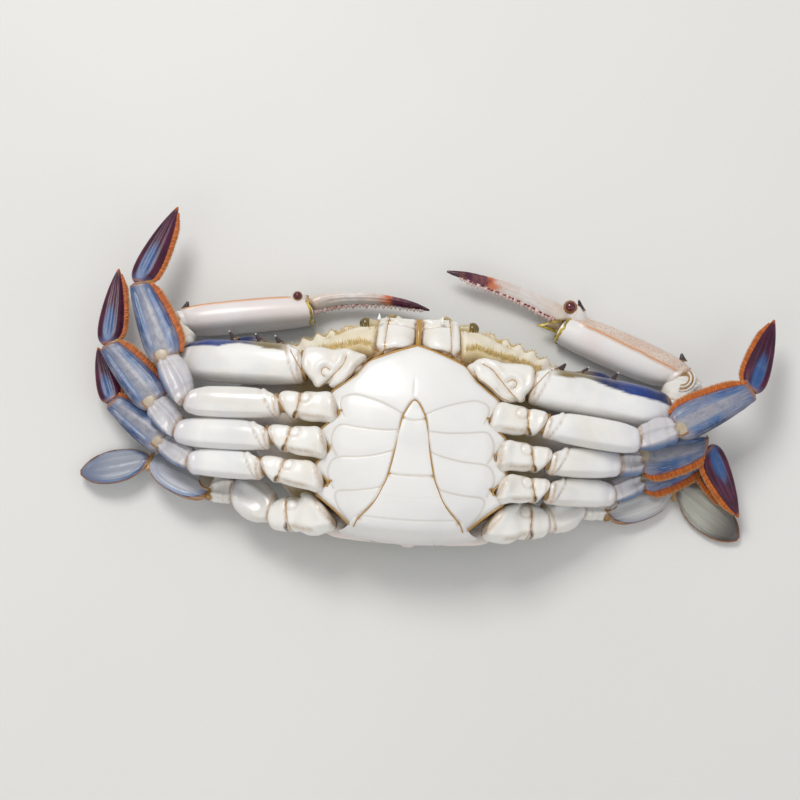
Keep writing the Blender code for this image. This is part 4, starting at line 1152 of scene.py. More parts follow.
def shape_base(segment, a, c, t):
    """Coxa and ischium: a waist with an amber seam, a hinge boss and a slit at its side, darkened with
    painted shade.
    """
    stain, snug, _ = end_marks(segment, 0.5, 0.5)
    size = segment.half_sizes(0.5)[0]
    run, off = (a - WAIST) * segment.length, c * size
    boss = np.hypot(run + 1.9, off - 0.46 * size)
    belly = ease(t, 0.2, 0.6)
    boss_ring = ridge(boss, 2.0, 0.42) * belly
    slit = ridge(run + 0.45 * (off + 0.75 * size), 0.8, 0.5) * ease(-c, 0.42, 0.72) * ease(t, -0.4, 0.2)
    brow = ridge(c, 0.78, 0.16) * stretch(a, 0.08, 0.2, 0.8, 0.95)
    lower = ridge(c, -0.74, 0.12) * stretch(a, 0.05, 0.15, WAIST - 0.12, WAIST)
    height = (0.45 * snug + 1.1 * ridge(segment.near, 0.6, 2.2) + 0.24 * (1 - ease(boss, 1.2, 1.7)) * belly
              - 0.2 * boss_ring - 0.8 * slit + 0.2 * brow
              + 0.25 * ridge(c, -0.5, 0.16) * ease(t, -0.1, 0.4) * (a < WAIST)
              + ridges(run, (0.14, -1.5, 0.8), (0.14, 1.6, 0.8))
              + 0.12 * segment.uneven(3.4, segment.number + 9))
    amber = 0.75 * stain + 0.30 * boss_ring + 0.8 * ridge(run, 0.0, 0.55) + 0.5 * lower * ease(t, -0.3, 0.3)
    # The slit's dark mark: brown joint skin with painted shade of the gap.
    return height, amber, 0.0, 1.4 * slit


def shape_propodus(segment, a, c, t):
    """Broad blade with lengthwise keels and a soft hollow at its inner joint."""
    near, far = segment.near, segment.far
    keels = ridges(c, (0.35, 0.05, 0.16), (0.9, -0.68, 0.10), (0.8, 0.70, 0.09), (-0.8, -0.42, 0.16),
                   (-0.5, 0.44, 0.16))
    bay = ridge(near, 0.5, 1.6) * ridge(c, -0.25, 0.42) * ease(t, 0.0, 0.5)
    height = (0.26 * keels * ease(np.abs(t), 0.1, 0.6) * stretch(a, 0.12, 0.28, 0.84, 0.95) - 0.75 * bay
              + 0.4 * ridge(far, 0.0, 1.3) + 0.3 * ridge(near, -0.2, 1.3)
              + 0.06 * segment.uneven(2.0, segment.number + 13))
    return height, 0.9 * ridge(far, 0.2, 0.5) + 0.35 * ridge(near, 0.2, 0.5), 0.9 * bay, 0.0


def shape_dactyl(segment, a, c, t):
    """Pointed blade with three pale keels and a lance-shaped blue field."""
    belly = ease(np.abs(t), 0.15, 0.6)
    shown = belly * stretch(a, 0.06, 0.2, 0.86, 0.97)
    lines = ridges(c, (1.0, -0.5, 0.08), (0.9, 0.02, 0.07), (0.9, 0.46, 0.07))
    hollows = ridges(c, (1.0, -0.24, 0.13), (1.0, 0.24, 0.11))
    pale = np.clip(ridges(c, (1.0, -0.5, 0.05), (0.7, 0.02, 0.04), (0.6, 0.46, 0.045)), 0, 1)
    pale = 0.28 * pale * shown * (1 - 0.8 * ease(a, 0.4, 0.8))
    field = 1 - ease(np.hypot((a - 0.2) / 0.34, (c + 0.1) / 0.52), 0.55, 1.1)
    return (0.10 * lines - 0.10 * hollows) * shown, 0.8 * ridge(segment.near, 0.2, 0.5), pale, field * belly


def shape_plate(segment, a, c, t):
    """Flat plate of the swimming leg: thin edge, faint middle rib."""
    radius = np.clip(np.sqrt(np.abs(2 * a - 1) ** 3.0 + np.abs(c) ** 2.2), 0, 1)
    height = (0.3 * ridge(c, 0.0, 0.07) * stretch(a, 0.05, 0.2, 0.6, 0.95)
              - 0.28 * ease(radius, 0.78, 1.0) + 0.22 * ridge(radius, 0.76, 0.05)
              + ridges(c, (0.16, 0.45, 0.12), (0.16, -0.45, 0.12)) * stretch(a, 0.1, 0.3, 0.7, 0.9)
              + 0.10 * segment.uneven(3.0, segment.number + 21))
    return height, 0.7 * ridge(segment.near, 0.2, 0.6), 0.0, radius


def shape_palm(segment, a, c, t):
    """Palm: an orange ridge line along it and a grainy zone towards the upper edge."""
    course = 0.86 + 0 * a if segment.side < 0 else 0.16 + 0.26 * a
    course = course + 0.03 * segment.uneven(5.0, 55)
    level = segment.at(0.5).z
    shown = ease(segment.points[:, 2], level - 3 * MM, level)
    line = ridge(c, course, 0.065) * shown * stretch(a, 0.02, 0.08, 0.84, 0.94)
    upper = ease(c, course + 0.03, course + 0.10)
    grains = np.maximum(0.0, segment.uneven(1.0, 31)) * upper
    height = 0.6 * line + 0.12 * grains + ridges(segment.near, (0.3, 1.2, 0.5), (-0.25, 2.4, 0.5))
    return height, 0.6 * ridge(segment.near, 0.3, 0.7), line, upper * shown


def shape_finger(segment, a, c, t):
    """Finger: shallow grooves along it."""
    grooves = ridges(c, (1.0, 0.3, 0.16), (1.0, -0.2, 0.14)) * ease(np.abs(t), 0.3, 0.8)
    height = -0.14 * grooves * stretch(a, 0.1, 0.2, 0.8, 0.95) + 0.08 * segment.uneven(1.6, 15)
    return height, 0.6 * ridge(segment.near, 0.3, 0.7), 0.0, 0.0


# Shape, finish and slot of each kind of segment; a key with a limb's number holds for that limb only
KINDS = {
    "base": (shape_base, "joint", "shell_joint"),
    (1, "base"): (shape_claw_base, "joint", "shell_joint"),
    "merus": (shape_merus, "porcelain", "shell_white"),
    "carpus": (shape_carpus, "knuckle", "shell_joint"),
    (1, "carpus"): (shape_carpus, "claw_knuckle", "shell_joint"),
    (5, "carpus"): (shape_carpus, "claw_knuckle", "shell_joint"),
    "propodus": (shape_propodus, "blue", "shell_blue"),
    (5, "propodus"): (shape_plate, "plate", "shell_blue"),
    "dactyl": (shape_dactyl, "blade", "shell_dark"),
    "paddle": (shape_plate, "paddle", "shell_blue"),
    "palm": (shape_palm, "palm", "shell_claw"),
    "finger": (shape_finger, "finger", "shell_dark"),
}


FRINGE_ROWS = 4                 # rows of tufts over an edge's thickness
FRINGE_PITCH = 0.115            # from one tuft to the next along the edge
FRINGE_WIDTH = 0.40
RIM_PITCH = 0.14
RIM_LENGTH = 0.45
RIM_WIDTH = 0.3


def edge_line(segment, reach, count=44):
    """A flat segment's outer edge: rows of share along, offset across and offset through."""
    a, c, t = segment.place(read(segment.piece.data))
    rows = []
    for share in np.linspace(*reach, count):
        near = np.abs(a - share) < 0.035
        if near.any():
            best = np.argmax(np.where(near, c, -np.inf))
            rows.append((share, c[best], t[best]))
    shares, across, through = np.array(rows).T
    return shares, evened(across), evened(through)


def fringe(name, segment, reach, length, lean=0.25):
    """Tufts along the outer edge of a flat segment, side by side like a comb."""
    shares, *edge = edge_line(segment, (max(reach[0], 0.0), min(reach[1], 1.0)))
    count = int((reach[1] - reach[0]) * segment.length / FRINGE_PITCH)
    along, across, through = segment.axes
    tufts = []
    for row in range(FRINGE_ROWS):
        for k in range(count):
            part = (k + rng.random()) / count
            share = reach[0] + (reach[1] - reach[0]) * part
            out, raised = (np.interp(share, shares, offsets) for offsets in edge)
            lift = (row - (FRINGE_ROWS - 1) / 2) * 0.30 + rng.normal(0, 0.06)
            way = across + along * (lean + rng.normal(0, 0.09)) + through * rng.normal(0.1 * lift, 0.06)
            taper = min(1.0, 0.55 + 3.0 * part, 0.4 + 3.0 * (1 - part))
            tufts.append((segment.at(share, out - (0.5 + 0.25 * abs(lift)), raised + lift), way,
                          length * taper * rng.uniform(0.86, 1.06), FRINGE_WIDTH * rng.uniform(0.8, 1.2),
                          (share, 0.5 + 0.02 * row)))
    grow(name, tufts, through, "orange_hair")


def turned_from(angles, turn):
    """How far angles lie from one of them."""
    return np.abs((angles - turn + np.pi) % (2 * np.pi) - np.pi)


def rim_fringe(name, segment):
    """Short setae all round the edge of a swimming plate."""
    a, c, t = segment.place(read(segment.piece.data))
    half = 0.5 * segment.length
    flat = np.stack([a * segment.length - half, c], axis=1)
    angles = np.arctan2(flat[:, 1], flat[:, 0])
    rim = []
    for turn in np.linspace(-np.pi, np.pi, 72, endpoint=False):
        near = np.where(turned_from(angles, turn) < 0.08)[0]
        best = near[np.argmax(np.linalg.norm(flat[near], axis=1))]
        rim.append((flat[best, 0], flat[best, 1], t[best]))
    rim = np.array(rim + rim[:1])
    reached = np.cumsum([0.0] + [float(np.linalg.norm(q[:2] - p[:2])) for p, q in zip(rim, rim[1:])])

    def on_rim(where):
        """Place on the rim at a distance run along it."""
        return np.array([np.interp(where, reached, column) for column in rim.T])

    count = int(reached[-1] / RIM_PITCH)
    along, across, through = segment.axes
    tufts = []
    for row in (-0.2, 0.0, 0.2):
        for k in range(count):
            where = reached[-1] * (k + rng.random()) / count
            u, v, w = on_rim(where)
            if u + half < 0.10 * segment.length:
                continue
            run = (on_rim(where + 1.0) - on_rim(where - 1.0))[:2]
            out = np.array([run[1], -run[0]]) / max(np.linalg.norm(run), 1e-6)
            out = -out if out @ (u, v) < 0 else out
            way = along * (out[0] + 0.5 * abs(out[1])) + across * out[1] + through * rng.normal(0, 0.06)
            inner = np.array([u + half, v]) - out * 0.35
            tufts.append((segment.at(inner[0] / segment.length, inner[1], w + row), way,
                          RIM_LENGTH * rng.uniform(0.75, 1.1), RIM_WIDTH, (0.5 + u / 60.0, 0.5 + v / 60.0)))
    grow(name, tufts, through, "brown_hair", curl=0.05)


def unit_collar():
    """Ribbed sleeve of soft skin, one unit in radius and height, that joints are filled with."""
    bpy.ops.object.select_all(action="DESELECT")
    bpy.ops.mesh.primitive_cylinder_add(vertices=32, radius=1.0, depth=2.0, end_fill_type="NGON")
    piece = started("collar_pattern")
    sliced(piece, [(0, 0, k / 4) for k in range(-3, 4)], UP)
    points = read(piece.data)
    points[:, :2] *= (1.0 + 0.05 * np.cos(points[:, 2] * 4 * np.pi))[:, None]
    write(piece.data, points)
    return piece


def unit_ball():
    """A round grain, one unit in radius, for hinge knobs, lobes, patches, the wrist balls and the teeth's
    roots.
    """
    bpy.ops.object.select_all(action="DESELECT")
    bpy.ops.mesh.primitive_ico_sphere_add(subdivisions=2, radius=1.0)
    return started("ball_pattern")


def unit_tooth():
    """A blunt cone, one unit in radius, that points up, for the fingers' teeth."""
    bpy.ops.object.select_all(action="DESELECT")
    bpy.ops.mesh.primitive_cone_add(vertices=8, radius1=1.0, radius2=0.25, depth=2.0)
    piece = started("tooth_pattern")
    sliced(piece, [(0, 0, 0)], UP)
    return piece


collar_pattern = unit_collar()
ball_pattern = unit_ball()
tooth_pattern = unit_tooth()


def beads(name, matrices, look, pattern=ball_pattern):
    """Copies of a small pattern, each stretched and placed, joined into one piece."""
    grains = [linked(name, pattern.data.copy()) for _ in matrices]
    for grain, matrix in zip(grains, matrices):
        grain.data.transform(matrix)
    select_only(grains[0])
    for grain in grains:
        grain.select_set(True)
    if len(grains) > 1:
        bpy.ops.object.join()
    return fitted(grains[0], look)


def frame_matrix(x_axis, y_axis, z_axis, place):
    """Matrix from three scaled axes and a place."""
    made = Matrix((x_axis, y_axis, z_axis)).transposed().to_4x4()
    made.translation = place
    return made


def measure_limb(side_name, side, number):
    """Segments of one limb, from the places where its solids meet."""
    nodes = chain_of(side_name, number)
    points = [meeting(a, b) for a, b in zip(nodes[:1] + nodes, ["thorax"] + nodes[1:])]
    points.append(far_point(nodes[-1], points[-1]))
    leads = [Vector((0, 1, 0))] * 5
    if number > 1:
        leads[3:] = points[5] - points[4], points[3] - points[4]
    return [Segment(node, points[k], points[k + 1], leads[k], side, number) for k, node in enumerate(nodes)]


def fill_joint(before, segment):
    """Short sleeve of joint skin in the gap between two segments, slanted as the gap is."""
    normal, way = before.caps[1][1], segment.along
    axes = []
    for axis, size in zip((segment.across, segment.through), segment.half_sizes(0.03)):
        flat = axis - way * (axis.dot(normal) / way.dot(normal)) if abs(way.dot(normal)) > 0.4 else axis
        axes.append(flat * size * 0.78 * MM)
    beads(f"{segment.node}_collar", [frame_matrix(*axes, way * 0.6 * MM, segment.start)], "membrane",
          collar_pattern)


def joint_patch(segment):
    """Cream skin patch with a hook at each end, on the belly side of a leg's outer knuckle."""
    width, thickness = segment.half_sizes(0.06)
    reach = (4.1, width * 0.58, thickness * 0.44)
    centre = segment.at(1.9 / segment.length, -0.2 * width, thickness * 0.62)
    along, across, through = (axis * MM * size for axis, size in
                              zip((segment.along, segment.across, segment.through), reach))
    beads(f"{segment.node}_patch", [frame_matrix(along, across, through, centre)], "patch")
    for k, turns in enumerate(((20, 150), (200, 335))):
        line = [(centre + along * 0.86 * math.cos(turn) + across * 0.86 * math.sin(turn) + through * 0.56
                 - MIDDLE) / MM for turn in np.radians(np.linspace(*turns, 10))]
        draw_cord(f"{segment.node}_hook_{k}", line, 0.24, "hook")


def bare_end(segment):
    """Give the palm's broken end its own finish."""
    for face in segment.piece.data.polygons:
        reach = (face.center - segment.start).dot(segment.along) / (segment.length * MM)
        if face.normal.dot(segment.along) > 0.62 and reach > 0.6:
            face.material_index = 1


def grow_thorns(segment):
    """Spines where the solid had its plain ones, and one more between the arm's two."""
    found = sorted(spines.get(segment.node, ()), key=lambda s: (s[0] - segment.start).length)
    if len(found) == 2:
        (first, rise), (last, _) = found
        found = [(first, rise), (first.lerp(last, 0.32), rise), (first.lerp(last, 0.75), rise)]
    for count, (root, rise) in enumerate(found):
        thorn(f"{segment.node}_spine_{count}", root + rise * 0.05, rise.normalized() + segment.along * 0.45,
              rise.length / MM * 1.25, 1.8)


def build_segment(segment, side_name):
    """The piece for one segment, with its shape and finish."""
    number, part = segment.number, segment.part
    shape, look, slot = KINDS.get((number, part)) or KINDS[part]
    piece = skin_of(segment.node, segment.node + "_shell")
    if shape in (shape_palm, shape_claw_base):
        relax(piece, 14 if part == "palm" else 3)
    if shape is shape_base:
        lean = segment.along + segment.across * (-0.1 if number == 5 else 0.22)
        cut_seam(piece, segment.at(WAIST), lean, 0.14, 0.3)
    shares = segment.cover(piece)
    height, *marks = shape(segment, *shares)
    sculpt(piece.data, height)
    paint(piece.data, "place", *shares)
    paint(piece.data, "marks", *(np.clip(mark, 0, 1) for mark in marks))
    if part == "palm":
        bare_end(segment)
    if look in ("paddle", "plate"):
        look = f"{look}_{side_name}"
    finished(piece, segment.node, slot, look, "stump_floor" if part == "palm" else "seam")


def build_limb(side_name, side, number):
    """All segments of one limb with their joints."""
    limb = measure_limb(side_name, side, number)
    for k, segment in enumerate(limb):
        build_segment(segment, side_name)
        if k:
            fill_joint(limb[k - 1], segment)
        grow_thorns(segment)
    return limb


# Dark red hinge knob between palm and movable finger: place and radius, and how deep its lobe lies
KNOBS = {"right": (-42.2, 46.2, 1.4), "left": (51.4, 48.2, 2.0)}
LOBE_SINK = 4.4
LOBE_HEIGHT = 4.0
PALM_REACH = 2.5                # how far round a place a claw's highest corner is looked for
# The finger's two rows: name, finish, their sizes in turn and how many
FINGER_ROWS = (("teeth", "finger_tooth", (1.25, 0.85, 1.1, 0.9), 32),
               ("tooth_roots", "tooth", (0.62, 0.45, 0.65, 0.5), 44))


def finger_teeth(side_name, finger):
    """Two rows along the movable finger's biting edge: blunt teeth, and their dark roots."""
    points = read(finger.piece.data)
    a = finger.place(points)[0]
    down = -(Vector((0, 1, 0)) - finger.along * finger.along.y).normalized()
    low = (points - np.array(finger.start)) @ np.array(down) / MM
    for name, look, sizes, count in FINGER_ROWS:
        pointed = name == "teeth"
        shares = np.linspace(0.06, 0.94, count)
        lowest = [np.argmax(np.where(np.abs(a - share) < 0.03, low, -np.inf)) for share in shares]
        row = np.stack([evened(column) for column in points[lowest].T], axis=1)
        grains = []
        for k, (share, where) in enumerate(zip(shares, row)):
            size = sizes[k % 4] * (1.1 - 0.5 * share)
            sink = down * (0.2 * size if pointed else -0.35) + UP * (0.2 if pointed else 0.5)
            axes = (finger.along * 1.15, finger.along.cross(down) * 0.8, down * (0.9 if pointed else 0.7))
            grains.append(frame_matrix(*(axis * size * MM for axis in axes),
                                       Vector(where) + sink * MM))
        beads(f"claw_{side_name}_{name}", grains, look,
              tooth_pattern if pointed else ball_pattern)


def hinge_knob(side_name, palm, finger):
    """Dark red knob on its ring, on a lobe that reaches out from the palm."""
    x, y, radius = KNOBS[side_name]
    lobe = palm.at(0.93)
    crown = max(top_of(palm.piece, *((lobe - MIDDLE) / MM).xy, PALM_REACH),
                top_of(finger.piece, x, y, PALM_REACH))
    knob = spot(x, y, crown - LOBE_SINK)
    lobe.z = knob.z
    way = (knob - lobe).normalized()
    beads(f"claw_{side_name}_hinge_lobe",
          [frame_matrix(way * ((knob - lobe).length + LOBE_SINK * MM) / 2, UP * LOBE_HEIGHT * MM,
                        way.cross(UP) * max(3.3, radius * 1.9) * MM, (lobe + knob) / 2)],
          "claw_palm")
    for name, size, drop, look in (("knob_ring", 1.24, 0.9, "hook"), ("knob", 1.0, 0.55, "knob")):
        stretched = Matrix.Diagonal((radius * size * MM, radius * size * MM, radius * 0.8 * MM, 1.0))
        beads(f"claw_{side_name}_{name}", [Matrix.Translation(spot(x, y, crown - drop)) @ stretched], look)


# Rings round the wrist's ball: reach, thickness and finish
WRIST_RINGS = ((2.2, 0.2, "seam"), (2.9, 0.42, "claw_palm"), (3.5, 0.2, "seam"), (4.2, 0.42, "claw_palm"))


def wrist_rings(side_name, carpus, palm):
    """Crescents of shell and skin round the wrist's ball."""
    wrist = palm.at(0.0, 0.1 * palm.half_sizes(0.05)[0])
    u, v = (wrist - MIDDLE).xy / MM
    for k, (reach, radius, look) in enumerate(WRIST_RINGS):
        arc = []
        for turn in np.radians(np.linspace(-75, 75, 16)):
            way = palm.across * math.sin(turn) * 1.25 - palm.along * math.cos(turn)
            x, y = u + way.x * reach, v + way.y * reach
            arc.append((x, y, max(top_of(skin.piece, x, y, 0.9) for skin in (palm, carpus)) - 0.1))
        xs, ys, heights = zip(*arc)
        draw_cord(f"claw_{side_name}_crescent_{k}", list(zip(xs, ys, evened(heights))), radius, look)
    beads(f"claw_{side_name}_wrist_ball",
          [Matrix.Translation(spot(u, v, top_of(palm.piece, u, v, 1.5) - 0.7)) @ Matrix.Scale(1.7 * MM, 4)],
          "button")


def stump_rim(side_name, palm):
    """Torn yellow-brown rim where the fixed finger broke off."""
    points = read(palm.piece.data)
    a = palm.place(points)[0] * palm.length
    points = points[np.abs(a.max() - a - 0.9) < 0.7]
    level = palm.along.cross(UP).normalized()
    rise = level.cross(palm.along)
    offset = points - points.mean(axis=0)
    flat = np.stack([offset @ np.array(level), offset @ np.array(rise)], 1)
    angles = np.arctan2(flat[:, 1], flat[:, 0])
    line = []
    for turn in np.linspace(-np.pi, np.pi, 26, endpoint=False):
        reach = np.where(turned_from(angles, turn) < 0.2, np.linalg.norm(flat, axis=1), 0.0)
        line.append((Vector(points[np.argmax(reach)]) - MIDDLE) / MM + palm.along * rng.uniform(-0.3, 0.5))
    draw_cord(f"claw_{side_name}_stump_rim", line + line[:1], 0.5, "stump", 2)


STUB_PLACE = (50.0, 40.0)       # where the height of the left palm's end is felt for


def build_shard(name, root, tip, width, look, palm):
    """Torn stub of the left claw's fixed finger: a flattened cone from root to tip."""
    crown = Vector((0.0, 0.0, top_of(palm.piece, *STUB_PLACE, PALM_REACH)))
    root, tip = (spot(*(Vector(end) + crown)) for end in (root, tip))
    way = (tip - root).normalized()
    level = UP.cross(way).normalized()
    bpy.ops.object.select_all(action="DESELECT")
    bpy.ops.mesh.primitive_cone_add(vertices=12, radius1=1.0, radius2=0.06, depth=1.0)
    piece = started(name)
    sliced(piece, [(0, 0, share) for share in (-0.25, 0.0, 0.25)], UP)
    piece.data.transform(frame_matrix(level * width * MM, way.cross(level) * width * 0.5 * MM,
                                      way * (tip - root).length, (root + tip) / 2))
    points = read(piece.data)
    write(piece.data, points + 0.35 * MM * np.stack([wander(points, 1.3, k) for k in (61, 62, 63)], 1))
    fitted(piece, look)


def build_base_seams(side_name, skins):
    """Amber lines that follow the skin of a great claw's base."""
    for count, path in enumerate(BASE_SEAMS[side_name]):
        line = []
        for x, y in smooth_path(path, 5):
            struck = [felt(skin.piece, x, y) for skin in skins]
            height = max((where.z / MM for hit, where, _ in struck if hit), default=0.0)
            if height > 22.0:
                line.append((x, y, height - 0.03))
        if len(line) > 3:
            draw_cord(f"claw_{side_name}_base_seam_{count}", line, 0.17)


for side_name, side in SIDES:
    limbs = {number: build_limb(side_name, side, number) for number in (1, 2, 3, 4, 5)}
    build_base_seams(side_name, limbs[1][:2])
    for number in (2, 3, 4):
        propodus, dactyl = limbs[number][3:]
        joint_patch(propodus)
        fringe(f"leg{number}_{side_name}_propodus_setae", propodus, (0.03, 1.03), 3.0)
        fringe(f"leg{number}_{side_name}_dactyl_setae", dactyl, (-0.02, 0.93), 2.3, lean=0.3)
    plate, paddle = limbs[5][3:]
    joint_patch(plate)
    rim_fringe(f"leg5_{side_name}_propodus_setae", plate)
    rim_fringe(f"leg5_{side_name}_paddle_setae", paddle)
    carpus, palm, finger = limbs[1][2:]
    finger_teeth(side_name, finger)
    hinge_knob(side_name, palm, finger)
    wrist_rings(side_name, carpus, palm)
    stump_rim(side_name, palm)

# The left claw keeps a stub of its fixed finger, and a spine at its palm's end
build_shard("claw_left_stub", (49.0, 41.6, -3.4), (40.6, 41.6, -2.8), 3.0, "stump", palm)
build_shard("claw_left_stub_core", (49.0, 41.6, -2.6), (43.0, 41.6, -2.1), 2.0, "stump_floor", palm)
thorn("claw_left_palm_end_spine", spot(55.6, 47.4, top_of(palm.piece, 56.0, 45.0, PALM_REACH) - 3.0),
      (-0.3, 0.9, 0.25), 4.6, 1.6)


# ------------------------------------------------------------ back shell, mouth, eyes, feelers

# Front margin of the back shell and the lower edge of its cream flank: (distance from midline, y)
FLANK_FRONT = [(0.0, 40.0), (13.5, 38.6), (24.0, 34.4), (31.0, 31.0), (38.6, 28.0), (50.0, 22.0)]
FLANK_REAR = [(9.0, 25.0), (14.8, 24.2), (19.2, 26.0), (24.2, 25.0), (29.2, 24.6), (36.0, 24.2), (42.0, 22.5)]
# How far the flanks rise to meet the mouth plates: (distance from midline, rise)
FLANK_SWELL = [(11.5, 0.0), (14.6, 9.0), (15.4, 10.6), (20.0, 9.4), (27.0, 6.6), (34.0, 3.4), (45.0, 0.0)]
# Low ridges across the back: (y on the midline, how far they reach to each side, bow)
BACK_RIDGES = ((14.0, 46.0, 0.004), (20.0, 20.0, 0.006), (-4.0, 16.0, 0.01))
SHEET_SIZE = 160                # width of the back shell's flattened skin
HAIR_WIDTH = 0.2
FLANK_TUFTS = 2600              # tries on each flank
MARGIN_TUFTS = 1100


def flank_rise(x, y):
    """Rise of the flank at a place."""
    lines = (FLANK_FRONT, FLANK_REAR, FLANK_SWELL)
    front, rear, swell = (np.interp(np.abs(x), *zip(*line)) for line in lines)
    dome = 1 - 0.45 * ease(y, front - 7.0, front - 1.5) - 0.55 * ease(y, front - 1.8, front + 0.6)
    return ease(y, rear - 5.5, rear + 1.0) * dome * swell


def build_back_shell():
    """Back shell with its granules above and its cream flanks beneath the limbs."""
    piece = skin_of("carapace", "back_shell")
    mesh = piece.data
    x, y, _ = body(mesh).T
    width, tilt = np.abs(x), read(mesh, "normal")[:, 2]
    under = ease(tilt, -0.15, 0.25)
    pebbles = wander(read(mesh), 1.6, 3)
    lines = np.zeros(len(x))
    for level, reach, bow in BACK_RIDGES:
        lines = np.maximum(lines, ridge(y, level - bow * x * x, 0.7) * (width < reach))
    grains = np.maximum(0.0, pebbles - 0.1)
    sculpt(mesh, (0.35 * grains + 0.4 * lines) * (1 - under) + 0.05 * pebbles * under)
    raised = read(mesh)
    raised[:, 2] += MM * flank_rise(x, y) * ease(tilt, 0.05, 0.4)
    write(mesh, raised)
    toothed = ridge(tilt, 0.0, 0.35) * (y > 2.0)
    blotch = ridge(np.hypot((width - 16.5) / 1.8, (y - 27.0) / 2.6), 0.0, 0.8) * under
    far = np.maximum(ease(width, 36.0, 48.0), ease(y, -24.0, -30.0))
    paint(mesh, "marks", under, np.clip(toothed + 0.8 * blotch, 0, 1), far)
    rear = np.interp(width, *zip(*FLANK_REAR))
    paint(mesh, "tones", (1 - ease(y, rear - 0.5, rear + 4.5)) * under * ease(width, 12.0, 14.0))
    return finished(piece, "carapace", "shell_back", "back")


def flank_tufts(side_name, side):
    """Golden hair over the flank's rear edge."""
    tufts = []
    for _ in range(FLANK_TUFTS):
        width = rng.uniform(13.5, 42.0)
        y = np.interp(width, *zip(*FLANK_REAR)) + min(rng.uniform(-2.4, 2.2), rng.uniform(-2.4, 3.4))
        hit, where, normal = felt(back_shell, side * width, y)
        if not hit:
            continue
        way = (side * 0.25 + rng.normal(0, 0.28), 1.0, 0.34 + rng.normal(0, 0.14))
        length = rng.uniform(0.9, 2.9) * (0.7 if width > 34.0 else 1.0)
        tufts.append((where - normal * 0.2 * MM, way, length, HAIR_WIDTH,
                      (0.5 + side * width / SHEET_SIZE, 0.5 + y / SHEET_SIZE)))
    grow(f"flank_{side_name}_setae", tufts, UP, "yellow_hair", curl=0.3)


def margin_tufts(side_name, side):
    """Short brown fuzz along the toothed margin."""
    points, normals, places = read(back_shell.data), read(back_shell.data, "normal"), body(back_shell.data)
    out = places[:, 0] * side
    rim = np.where((np.abs(normals[:, 2]) < 0.45) & (out > 12.0) & (out < 57.0) & (places[:, 1] > 12.0))[0]
    chosen = rng.choice(rim, min(MARGIN_TUFTS, len(rim)), replace=False)
    ways = normals[chosen] + rng.normal(0, 0.25, (len(chosen), 3))
    tufts = zip(points[chosen] - normals[chosen] * 0.15 * MM, ways, rng.uniform(0.5, 1.6, len(chosen)),
                np.full(len(chosen), HAIR_WIDTH), 0.5 + places[chosen][:, :2] / SHEET_SIZE)
    grow(f"margin_{side_name}_setae", tufts, (0.1, 0.2, 1.0), "yellow_hair")


def build_mouth_plate(side_name, side):
    """Outer mouth plate in its three parts, with amber seams between them."""
    piece = skin_of(f"maxilliped_{side_name}", f"mouth_plate_{side_name}", 4)
    relax(piece, 16)
    cut_seam(piece, spot(side * 10.9, 29.0, 30.0), Vector((side, 0.08, 0.0)), 0.15, 0.35)
    mesh = piece.data
    x, y, _ = body(mesh).T
    x = np.abs(x)

    def rounded(dx, dy, width, length):
        """How much a corner of the plate falls away."""
        return ease(np.hypot(np.maximum(0, dx) / width, np.maximum(0, dy) / length), 0.6, 1.3)

    cross = ridge(y, 34.2 + 0.16 * (x - 5.0), 0.32) * (x < 10.6)
    palp = ridge(x, 7.4 + 0.5 * (y - 35.0), 0.3) * ease(y, 34.5, 35.5)
    swell = ridge(x, 5.6, 3.6) * ridge(y, 29.5, 4.4) + 0.6 * ridge(x, 12.6, 1.3)
    corner = rounded(4.0 - x, 29.4 - y, 3.6, 4.0)
    ends = 1.1 * rounded(3.4 - x, y - 34.0, 3.2, 2.8) + 1.2 * rounded(x - 11.6, y - 34.0, 3.0, 3.2)
    height = 0.9 * swell - 0.45 * cross - 0.3 * palp - 1.5 * corner - ends
    sculpt(mesh, height * ease(read(mesh, "normal")[:, 2], 0.1, 0.5) + 0.12 * wander(read(mesh), 2.6, 41))
    stain = (ridges(x, (0.5, 10.9, 0.55), (1.1, 0.5, 0.9), (0.9, 14.1, 0.7)) + 0.8 * corner + 0.35 * cross
             + 0.3 * palp + 0.5 * ridge(y, 27.4 - 0.4 * x, 0.7))
    paint(mesh, "place", 0.5, 0.0, 1.0)
    paint(mesh, "marks", np.clip(stain, 0, 1), 0.0, 0.0)
    finished(piece, f"maxilliped_{side_name}", "shell_joint", "joint", "seam")


def build_eye(side_name, side):
    """Stalk and its dark, finely faceted eye."""
    piece = skin_of(f"eye_{side_name}", f"eye_{side_name}_surface")
    low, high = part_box(f"eye_{side_name}")
    split = (low + high) / 2
    cut_seam(piece, split, (1, 0, 0), 0.12, 0.2)
    for face in piece.data.polygons:
        if (face.center.x - split.x) * side < 0:
            face.material_index = 1
    finished(piece, f"eye_{side_name}", "eye_black", "eye", "stalk")


def build_feeler(side_name):
    """Whip feeler with a joint every millimetre or so."""
    piece = skin_of(f"antenna_{side_name}", f"feeler_{side_name}")
    x, y, _ = body(piece.data).T
    turn = np.arctan2(y + 2.0, np.abs(x) - 16.0) * 36.0
    sculpt(piece.data, 0.05 * np.cos(turn * 2 * np.pi / 1.1))
    finished(piece, f"antenna_{side_name}", "feeler", "feeler")


def build_mouth_seams():
    """Golden skin between the mouth plates and along their rear edges."""
    half = [(14.6, 21.3), (10.0, 23.4), (5.0, 25.3), (0.0, 26.9)]
    rear = smooth_path([(-x, y) for x, y in half] + half[-2::-1], 6)
    draw_cord("mouth_rear_seam", on_belly(rear, 1.5), 0.55)
    middle = [(0.0, y, z) for y, z in ((26.6, 30.6), (30.0, 30.9), (33.6, 30.2), (36.2, 28.4))]
    draw_cord("mouth_middle_seam", middle, 0.85, rounding=3)


